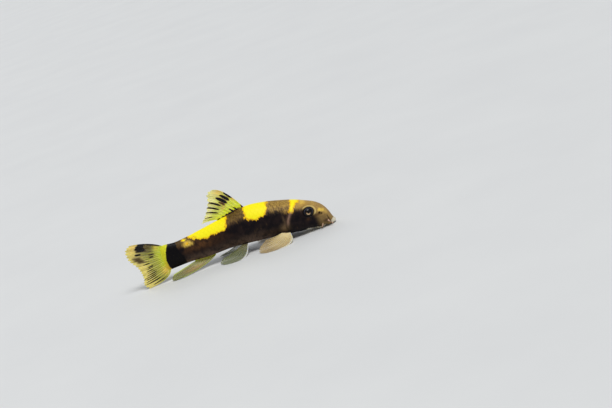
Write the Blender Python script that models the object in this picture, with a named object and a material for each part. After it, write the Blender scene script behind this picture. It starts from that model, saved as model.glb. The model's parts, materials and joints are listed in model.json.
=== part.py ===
"""A panda garra resting on its mouth, its paired fins and the tip of its tail, at life size.

Everything is modelled in millimetres, and the last step scales each mesh to metres. A place on the fish
is given by its distance behind the front of the snout, which the lip oversteps a little, its distance
across and its height above the floor. The fish looks along +X, its left side is +Y, and the floor is the
plane Z = 0.
"""

import math

import bmesh
import bpy
import numpy as np
from mathutils import Matrix, Vector

MILLIMETRE = 0.001
GAP = 0.3  # kept between pieces that touch
GILL_GAP = 0.34  # the same behind the gill covers, where the edge runs at a slant
AROUND = 36  # points round each ring of the body

# Lengths along the fish, behind the tip of the snout
TOTAL_LENGTH = 73.3
LIP_REACH = 0.4
TAIL_FIN_BASE = 59.5
GILL_TOP = 12.4  # where the gill cover ends at the nape
GILL_REACH = 3.4  # how much further back it reaches on the sides
HEAD_END = (13.6, 7.0)  # behind snout and height of the middle of the head's hidden back face
TRUNK_END = 40.6
REAR_TRUNK_END = 53.0
SWAY_START = 30.0
SWAY = 0.0026  # sideways drift of the tail for each millimetre squared

# Outlines as (behind snout, size): height of the back, height of the belly, half the breadth
BACK = [(0, 1.5), (0.5, 2.7), (1.3, 5.0), (2.8, 7.4), (4.8, 9.1), (8, 10.7), (11, 12.05), (16, 13.6),
        (22, 15.1), (28, 15.8), (34, 15.05), (40, 14.15), (46, 13.25), (52, 12.45), (56, 12.25), (59.5, 12.75)]
BELLY = [(0, 1.5), (0.5, 0.85), (1.5, 0.6), (5, 0.75), (11, 1.1), (18, 1.9), (28, 2.85), (38, 3.5),
         (46, 3.3), (53, 3.75), (59.5, 3.6)]
HALF_BREADTH = [(0, 0), (0.5, 1.85), (1.3, 2.95), (2.8, 3.95), (5, 4.65), (8, 5.05), (14, 5.75), (22, 5.6),
                (30, 5.2), (40, 4.1), (50, 2.5), (56, 1.75), (59.5, 1.25)]

# Section shapes as (behind snout, value): height of the widest line as a share of the depth, and how
# square the section is above and below that line, where 2 is an ellipse
WIDEST = [(0, 0.36), (5, 0.4), (14, 0.42), (28, 0.45), (45, 0.5), (59.5, 0.5)]
SQUARE_ABOVE = [(0, 2.2), (5, 2.5), (12, 2.3), (22, 2.0), (40, 1.9), (59.5, 2.0)]
SQUARE_BELOW = [(0, 2.6), (6, 3.2), (16, 2.9), (30, 2.5), (42, 2.1), (59.5, 2.0)]

# Head
EYE_BEHIND = 8.36
EYE_HEIGHT = 7.1
EYE_RADIUS = 2.25
EYE_DEPTH_RADIUS = 1.5
EYE_BULGE = 0.75
ORBIT_SWELL = 0.15
ORBIT_RING = (2.62, 0.38, 0.12)  # radius of the skin ring round the eye, its thickness and how deep it sits
CHEEK_SWELL = 0.25
GILL_COVER_LIFT = 0.3
NOSTRILS = [(3.8, 5.9, 0.3), (4.5, 6.35, 0.42)]  # behind snout, height, radius
LIP_RADIUS = 0.6
LIP_HEIGHT = 1.2
LIP_HALF_BREADTH = 2.9
LIP_CORNER = 3.0  # how far behind the snout the lip ends
MOUTH_FRONT = 1.75
MOUTH_CORNER = 3.5
MOUTH_CORNER_ANGLE = 128.0
MOUTH_SLIT_RADIUS = 0.28
DISC_BEHIND = 5.3
DISC_HALF_LENGTH = 2.3
DISC_HALF_BREADTH = 2.9
DISC_HALF_HEIGHT = 0.95
DISC_HEIGHT = 0.72
PAD_GROOVE = (1.0, 1.35, 0.2)  # half length and half breadth of the ring, and its radius

# Barbels as name, root (behind, height), bend and tip (behind, across, height), thickness at the root
BARBELS = [("rostral", (2.6, 2.3), (1.9, 4.6, 2.0), (0.6, 3.9, 0.45), 0.7),
           ("maxillary", (4.5, 1.7), (4.7, 5.0, 1.4), (5.4, 5.1, 0.6), 0.6)]

# Fins
MEMBRANE = 0.5
RAY_THICKNESS = 0.8
TIP_THICKNESS = 0.36
FLOOR_PRESS = 0.15  # height of a fin's middle where it lies flat on the floor

# Colours as linear red, green, blue
OLIVE_BROWN = (0.09, 0.055, 0.02, 1)
NEAR_BLACK = (0.012, 0.009, 0.008, 1)
BAR_YELLOW = (0.78, 0.55, 0.03, 1)
FIN_YELLOW = (0.55, 0.5, 0.12, 1)
FIN_CLEAR = (0.5, 0.42, 0.26, 1)
EYE_BLACK = (0.01, 0.01, 0.01, 1)
LIP_PALE = (0.6, 0.5, 0.4, 1)


def clear_scene():
    for thing in list(bpy.data.objects):
        bpy.data.objects.remove(thing)


def finish(name, colour, roughness):
    material = bpy.data.materials.new(name)
    material.use_nodes = True
    shader = material.node_tree.nodes["Principled BSDF"]
    shader.inputs["Base Color"].default_value = colour
    shader.inputs["Roughness"].default_value = roughness
    shader.inputs["Metallic"].default_value = 0.0
    return material


def flow(at, knots, values):
    """A smooth curve through a few values: cubic pieces whose slopes come from the neighbours."""
    at = np.asarray(at, float)
    knots = np.asarray(knots, float)
    values = np.asarray(values, float)
    steps = np.diff(knots)
    spread = (-1,) + (1,) * (values.ndim - 1)
    rises = np.diff(values, axis=0) / steps.reshape(spread)
    ahead, behind = steps[1:].reshape(spread), steps[:-1].reshape(spread)
    inner = (rises[:-1] * ahead + rises[1:] * behind) / (ahead + behind)
    slopes = np.concatenate([rises[:1], inner, rises[-1:]])
    piece = np.clip(np.searchsorted(knots, at) - 1, 0, len(steps) - 1)
    share = ((at - knots[piece]) / steps[piece]).reshape(at.shape + (1,) * (values.ndim - 1))
    length = steps[piece].reshape(share.shape)
    start, end = values[piece], values[piece + 1]
    lift = start * (1 + 2 * share) * (1 - share) ** 2 + end * share ** 2 * (3 - 2 * share)
    turn = length * (slopes[piece] * share * (1 - share) ** 2 - slopes[piece + 1] * share ** 2 * (1 - share))
    return lift + turn


def along(outline, behind):
    """An outline's value at a distance behind the snout, with knots spaced so that the nose is round."""
    knots, values = np.array(outline, float).T
    return flow(np.sqrt(np.maximum(behind, 0)), np.sqrt(knots), values)


def unit(vectors):
    return vectors / np.linalg.norm(vectors, axis=-1, keepdims=True)


def ease(share):
    share = np.clip(share, 0, 1)
    return share * share * (3 - 2 * share)


def sway(behind):
    return -SWAY * np.maximum(behind - SWAY_START, 0) ** 2


def place(behind, across, height):
    """A point of the model, in millimetres, from its distance behind the snout."""
    behind, across, height = np.broadcast_arrays(
        np.asarray(behind, float), np.asarray(across, float), np.asarray(height, float))
    return np.stack([TOTAL_LENGTH / 2 - LIP_REACH - behind, across + sway(behind), height], axis=-1)


def section(behind, angle):
    """Distance across and height of the bare outline at an angle from the back, 180 at the belly."""
    turn = np.radians(angle)
    top, bottom = along(BACK, behind), along(BELLY, behind)
    waist = bottom + along(WIDEST, behind) * (top - bottom)
    above = np.cos(turn) > 0
    power = 2 / np.where(above, along(SQUARE_ABOVE, behind), along(SQUARE_BELOW, behind))
    reach = np.where(above, top - waist, waist - bottom)
    across = along(HALF_BREADTH, behind) * np.sign(np.sin(turn)) * np.abs(np.sin(turn)) ** power
    height = waist + reach * np.sign(np.cos(turn)) * np.abs(np.cos(turn)) ** power
    return across, height


def relief(behind, across, height):
    """How far the head's forms stand out sideways: eye rims, cheeks and gill covers."""
    from_eye = np.hypot(behind - EYE_BEHIND, height - EYE_HEIGHT)
    rim = ORBIT_SWELL * np.exp(-((from_eye - EYE_RADIUS - 0.3) / 0.8) ** 2)
    cheek = CHEEK_SWELL * np.exp(-((behind - 10.5) / 2.6) ** 2 - ((height - 4.2) / 2.4) ** 2)
    cover = GILL_COVER_LIFT * ease((behind - 10.5) / 4.0) * np.exp(-((height - 6.0) / 4.2) ** 4)
    on_head = 1 - ease((behind - 15.4) / 1.2)
    return (rim + cheek + cover) * on_head


def skin(behind, angle):
    """A point of the fish's surface."""
    across, height = section(behind, angle)
    side = along(HALF_BREADTH, behind)
    sideways = across / np.maximum(side, 0.1)
    return place(behind, across + relief(behind, across, height) * sideways, height)


def skin_normal(behind, angle):
    step = 0.05
    lengthwise = skin(behind + step, angle) - skin(behind - step, angle)
    turning = skin(behind, angle + 1) - skin(behind, angle - 1)
    normal = unit(np.cross(turning, lengthwise))
    outward = skin(behind, angle) - place(behind, 0, (along(BACK, behind) + along(BELLY, behind)) / 2)
    return normal * np.sign((normal * outward).sum(-1, keepdims=True))


def angle_at_height(behind, height):
    """The angle on the +Y side at which the surface has a height."""
    low, high = 0.0, 180.0
    for _ in range(40):
        middle = (low + high) / 2
        if section(behind, middle)[1] > height:
            low = middle
        else:
            high = middle
    return low


def gill_edge(angle):
    """Where the gill cover ends, behind the snout, at an angle from the back."""
    turn = np.abs((np.asarray(angle, float) + 180) % 360 - 180)
    return GILL_TOP + GILL_REACH * ease((turn - 12) / 48) * ease((174 - turn) / 44)


def make_object(name, points, faces, material):
    mesh = bpy.data.meshes.new(name)
    shape = bmesh.new()
    corners = [shape.verts.new(point) for point in np.asarray(points, float)]
    for face in faces:
        shape.faces.new([corners[i] for i in face])
    bmesh.ops.recalc_face_normals(shape, faces=shape.faces)
    shape.to_mesh(mesh)
    shape.free()
    mesh.shade_smooth()
    mesh.set_sharp_from_angle(angle=math.radians(50))
    mesh.materials.append(material)
    thing = bpy.data.objects.new(name, mesh)
    bpy.context.scene.collection.objects.link(thing)
    return thing


def tube(name, rings, first, last, material):
    """A closed body through rings of points, ended by a fan to a point at each end."""
    count, around = rings.shape[:2]
    points = list(rings.reshape(-1, 3)) + [first, last]
    faces = []
    for row in range(count - 1):
        for i in range(around):
            j = (i + 1) % around
            a, b = row * around, (row + 1) * around
            faces.append((a + i, a + j, b + j, b + i))
    for i in range(around):
        j = (i + 1) % around
        faces.append((count * around, j, i))
        faces.append((count * around + 1, (count - 1) * around + i, (count - 1) * around + j))
    return make_object(name, points, faces, material)


def loop(name, rings, material):
    """A closed body through rings of points whose last ring joins the first."""
    count, around = rings.shape[:2]
    faces = []
    for row in range(count):
        for i in range(around):
            j = (i + 1) % around
            a, b = row * around, (row + 1) % count * around
            faces.append((a + i, a + j, b + j, b + i))
    return make_object(name, rings.reshape(-1, 3), faces, material)


def boolean(target, operation, others):
    """Joins or cuts with others, applies the result and removes them."""
    collection = bpy.data.collections.new(target.name + "_others")
    for other in others:
        collection.objects.link(other)
    bpy.context.scene.collection.children.link(collection)
    step = target.modifiers.new(operation, "BOOLEAN")
    step.operation = operation
    step.operand_type = "COLLECTION"
    step.collection = collection
    step.solver = "EXACT"
    graph = bpy.context.evaluated_depsgraph_get()
    result = bpy.data.meshes.new_from_object(target.evaluated_get(graph))
    target.modifiers.clear()
    target.data = result
    for other in others:
        bpy.data.objects.remove(other)
    bpy.data.collections.remove(collection)


def keep_largest(thing):
    """Leaves only the largest closed surface of a mesh."""
    shape = bmesh.new()
    shape.from_mesh(thing.data)
    unseen = set(shape.verts)
    islands = []
    while unseen:
        edge_of_island = [unseen.pop()]
        island = set(edge_of_island)
        while edge_of_island:
            for edge in edge_of_island.pop().link_edges:
                for vertex in edge.verts:
                    if vertex in unseen:
                        unseen.discard(vertex)
                        island.add(vertex)
                        edge_of_island.append(vertex)
        islands.append(island)
    largest = max(islands, key=len)
    bmesh.ops.delete(shape, geom=[v for v in shape.verts if v not in largest], context="VERTS")
    shape.to_mesh(thing.data)
    shape.free()


def ellipsoid(name, centre, radii, material, segments=20, rings=12, pole=(0, 0, 1)):
    """An ellipsoid with its pole turned to a direction. The last radius is the one to the pole."""
    shape = bmesh.new()
    bmesh.ops.create_uvsphere(shape, u_segments=segments, v_segments=rings, radius=1)
    bmesh.ops.scale(shape, vec=radii, verts=shape.verts)
    turn = Vector((0, 0, 1)).rotation_difference(Vector(pole)).to_matrix()
    bmesh.ops.rotate(shape, matrix=turn, verts=shape.verts)
    bmesh.ops.translate(shape, vec=centre, verts=shape.verts)
    mesh = bpy.data.meshes.new(name)
    shape.to_mesh(mesh)
    shape.free()
    mesh.shade_smooth()
    mesh.materials.append(material)
    thing = bpy.data.objects.new(name, mesh)
    bpy.context.scene.collection.objects.link(thing)
    return thing


def on_side(behind, height, side):
    """The skin's point and outward direction at a height on one side."""
    at = np.array(float(behind)), np.array(side * angle_at_height(behind, height))
    return skin(*at), skin_normal(*at)


def eyeball(name, side, margin, material, segments=24, rings=12):
    """One eye, or with a margin the socket that it sits in. It looks straight out of the skin."""
    surface, outward = on_side(EYE_BEHIND, EYE_HEIGHT, side)
    centre = surface + (EYE_BULGE - EYE_DEPTH_RADIUS) * outward
    radii = (EYE_RADIUS + margin, EYE_RADIUS + margin, EYE_DEPTH_RADIUS + margin)
    return ellipsoid(name, centre, radii, material, segments, rings, pole=outward)


def head_rings(rows=26):
    """Rings from the snout back to the curved edge of the gill cover."""
    angles = np.arange(AROUND) * 360 / AROUND
    shares = np.linspace(0, 1, rows + 1)[1:]
    return np.array([skin(share ** 2 * gill_edge(angles), angles) for share in shares])


def mouth_disc(material):
    """The sucker on the lower lip, flat where it rests on the floor."""
    radii = (DISC_HALF_LENGTH, DISC_HALF_BREADTH, DISC_HALF_HEIGHT)
    disc = ellipsoid("disc", place(DISC_BEHIND, 0, DISC_HEIGHT), radii, material, segments=28, rings=14)
    for vertex in disc.data.vertices:
        vertex.co.z = max(vertex.co.z, 0.0)
    return disc


def pad_groove(material):
    """A ring that cuts the groove round the pad in the middle of the sucker."""
    half_length, half_breadth, radius = PAD_GROOVE
    turns = np.arange(24) * 2 * math.pi / 24
    line = place(DISC_BEHIND + half_length * np.cos(turns), half_breadth * np.sin(turns), 0)
    return rod("groove", line, np.full(len(turns), radius), material, closed=True)


def orbit_ring(side, material):
    """The raised ring of skin that the eye looks out of."""
    radius, thickness, depth = ORBIT_RING
    surface, outward = on_side(EYE_BEHIND, EYE_HEIGHT, side)
    level = unit(np.cross(outward, (0, 0, 1)))
    rising = np.cross(level, outward)
    snout = place(0, 0, 0)[0]
    turns = np.arange(24) * 2 * math.pi / 24
    points = []
    for turn in turns:
        guide = surface + radius * (math.cos(turn) * level + math.sin(turn) * rising)
        point, normal = on_side(snout - guide[0], guide[2], side)
        points.append(point - depth * normal)
    radii = np.full(len(turns), thickness)
    return rod("orbit", np.array(points), radii, material, closed=True, reference=outward)


def mouth_slit(material):
    """A bent tube along the front of the mouth, from corner to corner."""
    turns = np.linspace(-1, 1, 17)
    angles = 180 + turns * (180 - MOUTH_CORNER_ANGLE)
    behind = MOUTH_FRONT + (MOUTH_CORNER - MOUTH_FRONT) * turns ** 2
    line = skin(behind, angles)
    return rod("slit", line, np.full(len(line), MOUTH_SLIT_RADIUS), material)


def snout_lip(material):
    """The pale roll of the upper lip, bent round the front of the snout."""
    turns = np.linspace(-1, 1, 15)
    centre = LIP_RADIUS - LIP_REACH
    behind = centre + (LIP_CORNER - centre) * turns ** 2
    across = LIP_HALF_BREADTH * turns * (1.25 - 0.25 * turns ** 2)
    radii = LIP_RADIUS * (1 - 0.4 * turns ** 2)
    return rod("lip", place(behind, across, LIP_HEIGHT), radii, material, sides=10)


def rod(name, line, radii, material, sides=8, closed=False, reference=(0.13, 0.21, 1.0)):
    """A round rod of changing radius along a line of points, which may join into a ring.

    The reference is any direction that the line never runs along."""
    lengthwise = np.gradient(line, axis=0)
    if closed:
        lengthwise = np.roll(line, -1, axis=0) - np.roll(line, 1, axis=0)
    aside = unit(np.cross(lengthwise, reference))
    upward = unit(np.cross(aside, lengthwise))
    turns = ((np.arange(sides) + 0.5) * 2 * math.pi / sides)[None, :, None]
    around = np.cos(turns) * aside[:, None] + np.sin(turns) * upward[:, None]
    rings = line[:, None] + radii[:, None, None] * around
    if closed:
        return loop(name, rings, material)
    return tube(name, rings, line[0], line[-1], material)


def make_head(material):
    behind, height = HEAD_END
    head = tube("head", head_rings(), place(0, 0, BACK[0][1]), place(behind, 0, height), material)
    forms = [mouth_disc(material), snout_lip(material), orbit_ring(1, material), orbit_ring(-1, material)]
    boolean(head, "UNION", forms)
    cutters = [mouth_slit(material), pad_groove(material)]
    for side in (-1, 1):
        cutters.append(eyeball("socket", side, GAP, material))
        for behind, height, radius in NOSTRILS:
            at = on_side(behind, height, side)[0]
            cutters.append(ellipsoid("nostril", at, (radius,) * 3, material, segments=10, rings=6))
    boolean(head, "DIFFERENCE", cutters)
    keep_largest(head)
    return head


def make_trunk(material):
    angles = np.arange(AROUND) * 360 / AROUND
    starts = gill_edge(angles) + GILL_GAP
    rings = np.array([skin(starts + share * (TRUNK_END - starts), angles) for share in np.linspace(0, 1, 17)])
    behind, height = HEAD_END
    first = place(behind + GILL_GAP, 0, height)
    return tube("trunk", rings, first, rings[-1].mean(axis=0), material)


def body_length(name, start, end, rows, material):
    """A straight-cut length of the body between two distances behind the snout."""
    angles = np.arange(AROUND) * 360 / AROUND
    rings = np.array([skin(np.full(AROUND, behind), angles) for behind in np.linspace(start, end, rows)])
    return tube(name, rings, rings[0].mean(axis=0), rings[-1].mean(axis=0), material)


def ray_lines(keys, rays, rows):
    """Lines of points along fin rays. Keys are (share across the fin, root, bend, tip), first to last."""
    shares = np.array([key[0] for key in keys], float)
    guides = np.array([key[1:] for key in keys], float)
    across = np.linspace(0, 1, 2 * rays - 1)
    root, bend, tip = np.moveaxis(flow(across, shares, guides), 1, 0)
    out = np.linspace(0, 1, rows)[:, None, None]
    lines = (1 - out) ** 2 * root + 2 * out * (1 - out) * bend + out ** 2 * tip
    between = np.arange(2 * rays - 1) % 2 == 1
    notch = 1 - 0.03 * between[None, :, None] * out
    return root + (lines - root) * notch


def vane_thickness(rows, columns, root_thickness, reach):
    """How thick a fin is at each point: thick at the root, thin at the tip and raised on each ray."""
    out = np.linspace(0, 1, rows)[:, None]
    on_ray = (np.arange(columns) % 2 == 0)[None, :]
    plain = MEMBRANE + (TIP_THICKNESS - MEMBRANE) * ease((out - 0.6) / 0.4)
    ridge = on_ray * ease(out / 0.3) * (RAY_THICKNESS - MEMBRANE) * (1 - 0.5 * out)
    root = (root_thickness - MEMBRANE) * (1 - ease(out / reach))
    return plain + ridge + root


def keep_off_floor(upper, lower, lies_flat):
    """Lifts what would be under the floor. A fin that lies flat keeps its tip thickness above it."""
    if not lies_flat:
        upper[:, :, 2] = np.maximum(upper[:, :, 2], 0.0)
        lower[:, :, 2] = np.maximum(lower[:, :, 2], 0.0)
        return
    low, high = (lower, upper) if lower[-1, 0, 2] < upper[-1, 0, 2] else (upper, lower)
    low[1:, :, 2] = np.maximum(low[1:, :, 2], 0.0)
    high[1:, :, 2] = np.maximum(high[1:, :, 2], low[1:, :, 2] + TIP_THICKNESS)


def vane_faces(rows, columns):
    """Triangles over both faces of a grid of points, alike on the two, and round its rim."""
    other = rows * columns
    faces = []
    for row in range(rows - 1):
        for column in range(columns - 1):
            a = row * columns + column
            b, c, d = a + 1, a + columns, a + columns + 1
            faces += [(a, b, d), (a, d, c)]
            faces += [(other + a, other + d, other + b), (other + a, other + c, other + d)]
    rim = list(range(columns))
    rim += [row * columns + columns - 1 for row in range(1, rows)]
    rim += [(rows - 1) * columns + column for column in range(columns - 2, -1, -1)]
    rim += [row * columns for row in range(rows - 2, 0, -1)]
    for i, j in zip(rim, rim[1:] + rim[:1]):
        faces += [(i, j, other + j), (i, other + j, other + i)]
    return faces


def vane(name, middle, root_thickness, material, reach=0.3, skin_normals=None):
    """A thin fin over a grid of points, rows outward by columns across, with a ridge on each ray.

    A fin with skin normals lies flat on the floor, and its root face is turned to face the skin."""
    rows, columns = middle.shape[:2]
    normal = unit(np.cross(np.gradient(middle, axis=0), np.gradient(middle, axis=1)))
    if skin_normals is not None:
        normal[0] = unit(normal[0] - (normal[0] * skin_normals).sum(-1, keepdims=True) * skin_normals)
    half = normal * vane_thickness(rows, columns, root_thickness, reach)[:, :, None] / 2
    upper, lower = middle + half, middle - half
    keep_off_floor(upper, lower, skin_normals is not None)
    points = np.concatenate([upper.reshape(-1, 3), lower.reshape(-1, 3)])
    return make_object(name, points, vane_faces(rows, columns), material)


def make_dorsal_fin(material):
    """Ten rays in a fan on the back, the first the longest and leaning back."""
    start, end = 29.0, 39.1

    def ray(share, bend, tip):
        behind = start + share * (end - start)
        root = place(behind, 0, along(BACK, behind) + GAP)
        return (share, root, place(bend[0], -0.3, bend[1]), place(tip[0], -0.9, tip[1]))

    keys = [ray(0, (33.7, 25.0), (37.3, 25.2)),
            ray(0.12, (34.6, 23.4), (39.0, 24.9)),
            ray(0.4, (36.6, 19.8), (40.2, 21.5)),
            ray(0.7, (39.0, 17.2), (42.2, 17.9)),
            ray(1, (41.7, 15.4), (44.6, 15.1))]
    return vane("dorsal_fin", ray_lines(keys, rays=10, rows=9), 1.0, material)


def make_tail_fin(material):
    """Nineteen rays in two rounded lobes, the lower one touching the floor at its tip."""
    start = TAIL_FIN_BASE + GAP
    top, bottom = along(BACK, TAIL_FIN_BASE), along(BELLY, TAIL_FIN_BASE)

    def ray(share, bend, tip):
        root = place(start, 0, top - 0.25 - share * (top - bottom - 0.5))
        return (share, root, place(bend[0], 0, bend[1]), place(tip[0], 0, tip[1]))

    keys = [ray(0, (64.4, 16.0), (70.8, 16.8)),
            ray(0.1, (66.0, 14.8), (72.5, 15.7)),
            ray(0.25, (65.9, 11.6), (72.8, 12.7)),
            ray(0.5, (64.8, 7.9), (70.4, 8.0)),
            ray(0.75, (64.6, 4.4), (69.9, 3.9)),
            ray(0.9, (63.4, 2.0), (70.4, 1.7)),
            ray(1, (60.9, 0.4), (69.3, -0.3))]
    middle = ray_lines(keys, rays=19, rows=9)
    shares = np.linspace(-1, 1, middle.shape[1])
    breadth = 2 * along(HALF_BREADTH, TAIL_FIN_BASE)
    root_thickness = np.maximum(breadth * np.sqrt(1 - shares ** 2), MEMBRANE)
    return vane("tail_fin", middle, root_thickness[None, :], material, reach=0.35)


def make_anal_fin(material):
    """Eight rays folded back under the tail, leaning towards -Y and down to the floor."""
    start, end = 43.4, 51.0

    def ray(share, bend, tip):
        behind = start + share * (end - start)
        root = place(behind, 0, along(BELLY, behind) - GAP)
        return (share, root, place(*bend), place(*tip))

    keys = [ray(0, (48.0, -1.9, 0.6), (56.6, -4.1, 0.3)),
            ray(0.3, (51.6, -2.0, 0.7), (59.7, -4.0, 0.3)),
            ray(0.65, (54.6, -1.4, 1.5), (60.5, -2.9, 0.9)),
            ray(1, (55.6, -0.7, 2.4), (59.6, -1.6, 1.9))]
    return vane("anal_fin", ray_lines(keys, rays=8, rows=8), 0.9, material)


def paired_fin(name, side, keys, rays, rows, root_thickness, material):
    """A fin whose keys are (share, (root behind, root angle), bend, tip) on the +Y side."""
    placed = []
    normals = []
    for share, (behind, angle), bend, tip in keys:
        normal = skin_normal(np.array(behind), np.array(float(side * angle)))
        root = skin(np.array(behind), np.array(float(side * angle))) + GAP * normal
        placed.append((share, root, place(bend[0], side * bend[1], bend[2]),
                       place(tip[0], side * tip[1], tip[2])))
        normals.append(normal)
    shares = [key[0] for key in keys]
    facing = unit(flow(np.linspace(0, 1, 2 * rays - 1), shares, normals))
    return vane(name, ray_lines(placed, rays, rows), root_thickness, material, skin_normals=facing)


def make_pectoral_fin(side, material):
    """Twelve rays spread beside the chest, the first curling back along the floor."""
    keys = [(0, (16.4, 128), (14.6, 10.8, -0.3), (21.6, 12.4, FLOOR_PRESS)),
            (0.3, (17.0, 128), (18.4, 10.9, -0.4), (26.2, 11.6, FLOOR_PRESS)),
            (0.6, (17.7, 127), (20.9, 8.9, 1.0), (28.6, 8.9, 0.5)),
            (0.85, (18.4, 126), (21.6, 7.2, 2.3), (27.5, 7.1, 2.1)),
            (1, (18.9, 125), (21.6, 6.6, 3.2), (25.0, 6.5, 3.4))]
    name = "pectoral_fin_left" if side > 0 else "pectoral_fin_right"
    return paired_fin(name, side, keys, 12, 9, 1.1, material)


def make_pelvic_fin(side, material):
    """Nine rays from the edge of the belly, spread out and back along the floor."""
    keys = [(0, (31.4, 144), (32.4, 6.2, -0.3), (35.2, 9.3, FLOOR_PRESS)),
            (0.35, (32.0, 144), (34.6, 5.9, -0.3), (40.4, 8.4, FLOOR_PRESS)),
            (0.7, (32.7, 145), (36.8, 4.3, 1.1), (42.8, 5.4, 0.5)),
            (1, (33.4, 146), (37.5, 3.0, 1.9), (41.6, 3.2, 1.4))]
    name = "pelvic_fin_left" if side > 0 else "pelvic_fin_right"
    return paired_fin(name, side, keys, 9, 8, 0.9, material)


def make_barbel(name, side, root, bend, tip, thickness, material):
    """A short tapered feeler that stands off the skin and droops."""
    surface, outward = on_side(*root, side)
    start = surface + GAP * outward
    bend, tip = (place(point[0], side * point[1], point[2]) for point in (bend, tip))
    shares = np.linspace(0, 1, 8)[:, None]
    line = (1 - shares) ** 2 * start + 2 * shares * (1 - shares) * bend + shares ** 2 * tip
    radii = thickness * (0.5 - 0.28 * shares[:, 0])
    return rod(name, line, radii, material)


def build():
    clear_scene()
    olive = finish("olive_skin", OLIVE_BROWN, 0.4)
    yellow = finish("yellow_bars", BAR_YELLOW, 0.4)
    black = finish("tail_band", NEAR_BLACK, 0.4)
    banded_fin = finish("banded_fin", FIN_YELLOW, 0.35)
    clear_fin = finish("clear_fin", FIN_CLEAR, 0.35)
    eye = finish("eye", EYE_BLACK, 0.05)
    lip = finish("lip", LIP_PALE, 0.35)
    make_head(olive)
    make_trunk(yellow)
    body_length("rear_trunk", TRUNK_END + GAP, REAR_TRUNK_END, 9, olive)
    body_length("tail_stalk", REAR_TRUNK_END + GAP, TAIL_FIN_BASE, 6, black)
    make_dorsal_fin(banded_fin)
    make_tail_fin(banded_fin)
    make_anal_fin(clear_fin)
    for side, word in ((1, "left"), (-1, "right")):
        eyeball("eye_" + word, side, 0, eye, segments=20)
        make_pectoral_fin(side, clear_fin)
        make_pelvic_fin(side, clear_fin)
        for kind, *shape in BARBELS:
            make_barbel(kind + "_barbel_" + word, side, *shape, lip)
    for thing in bpy.context.scene.collection.objects:
        thing.data.transform(Matrix.Scale(MILLIMETRE, 4))


build()
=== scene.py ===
# %% [markdown]
# # A panda garra at life size
# This lesson dresses the solids of a small bottom-dwelling fish, which rests on its sucker mouth,
# its spread paired fins and the tip of its tail. The solids give the true size and pose. Here they
# get one seamless skin with raised scales, glassy eyes and thin see-through fins with branched rays.
# All of it is worked out in millimetres, and each finished piece is scaled to metres once.

# %% Load the frame
import json
import math

import bmesh
import bpy
import numpy as np
from mathutils import Matrix, Vector

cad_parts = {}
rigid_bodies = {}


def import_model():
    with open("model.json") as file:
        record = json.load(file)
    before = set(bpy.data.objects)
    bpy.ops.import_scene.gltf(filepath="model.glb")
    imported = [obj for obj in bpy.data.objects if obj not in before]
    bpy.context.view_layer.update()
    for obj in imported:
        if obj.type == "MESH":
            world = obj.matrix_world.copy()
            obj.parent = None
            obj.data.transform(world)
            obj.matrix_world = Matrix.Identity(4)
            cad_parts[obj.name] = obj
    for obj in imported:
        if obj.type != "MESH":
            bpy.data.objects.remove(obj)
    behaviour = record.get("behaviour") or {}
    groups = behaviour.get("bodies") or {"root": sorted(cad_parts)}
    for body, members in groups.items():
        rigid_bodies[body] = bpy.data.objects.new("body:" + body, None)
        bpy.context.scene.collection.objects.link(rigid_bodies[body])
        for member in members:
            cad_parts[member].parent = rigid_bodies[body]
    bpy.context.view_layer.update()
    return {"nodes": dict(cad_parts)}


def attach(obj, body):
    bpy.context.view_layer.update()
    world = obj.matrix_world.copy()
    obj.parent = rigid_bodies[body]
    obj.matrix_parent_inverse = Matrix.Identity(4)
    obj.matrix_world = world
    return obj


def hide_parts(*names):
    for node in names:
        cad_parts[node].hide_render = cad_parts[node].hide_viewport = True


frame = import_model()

MM = 0.001
print("nodes to dress:", ", ".join(sorted(frame["nodes"])))

# %% [markdown]
# ## Where things are on a fish
# A fish has no straight edges to measure from, so every place is given by its distance behind the
# snout, its distance across and its height above the floor. A few knots on each outline are enough,
# because a smooth curve runs through them. The knots are closer at the nose, which is rounder than
# the rest, so the curve is drawn over the square root of the distance.

# %% Outlines of the body
TOTAL_LENGTH = 73.3
LIP_REACH = 0.4
TAIL_FIN_BASE = 59.5
SWAY_START = 30.0
SWAY = 0.0026  # sideways drift of the tail for each millimetre squared

BACK = [(0, 1.5), (0.5, 2.7), (1.3, 5.0), (2.8, 7.4), (4.8, 9.1), (8, 10.7), (11, 12.05), (16, 13.6),
        (22, 15.1), (28, 15.8), (34, 15.05), (40, 14.15), (46, 13.25), (52, 12.45), (56, 12.25),
        (59.5, 12.75)]
BELLY = [(0, 1.5), (0.5, 0.85), (1.5, 0.6), (5, 0.75), (11, 1.1), (18, 1.9), (28, 2.85), (38, 3.5),
         (46, 3.3), (53, 3.75), (59.5, 3.6)]
HALF_BREADTH = [(0, 0), (0.5, 1.85), (1.3, 2.95), (2.8, 3.95), (5, 4.65), (8, 5.05), (14, 5.75), (22, 5.6),
                (30, 5.2), (40, 4.1), (50, 2.5), (56, 1.75), (59.5, 1.25)]
WIDEST = [(0, 0.36), (5, 0.4), (14, 0.42), (28, 0.45), (45, 0.5), (59.5, 0.5)]
SQUARE_ABOVE = [(0, 2.2), (5, 2.5), (12, 2.3), (22, 2.0), (40, 1.9), (59.5, 2.0)]
SQUARE_BELOW = [(0, 2.6), (6, 3.2), (16, 2.9), (30, 2.5), (42, 2.1), (59.5, 2.0)]


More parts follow.
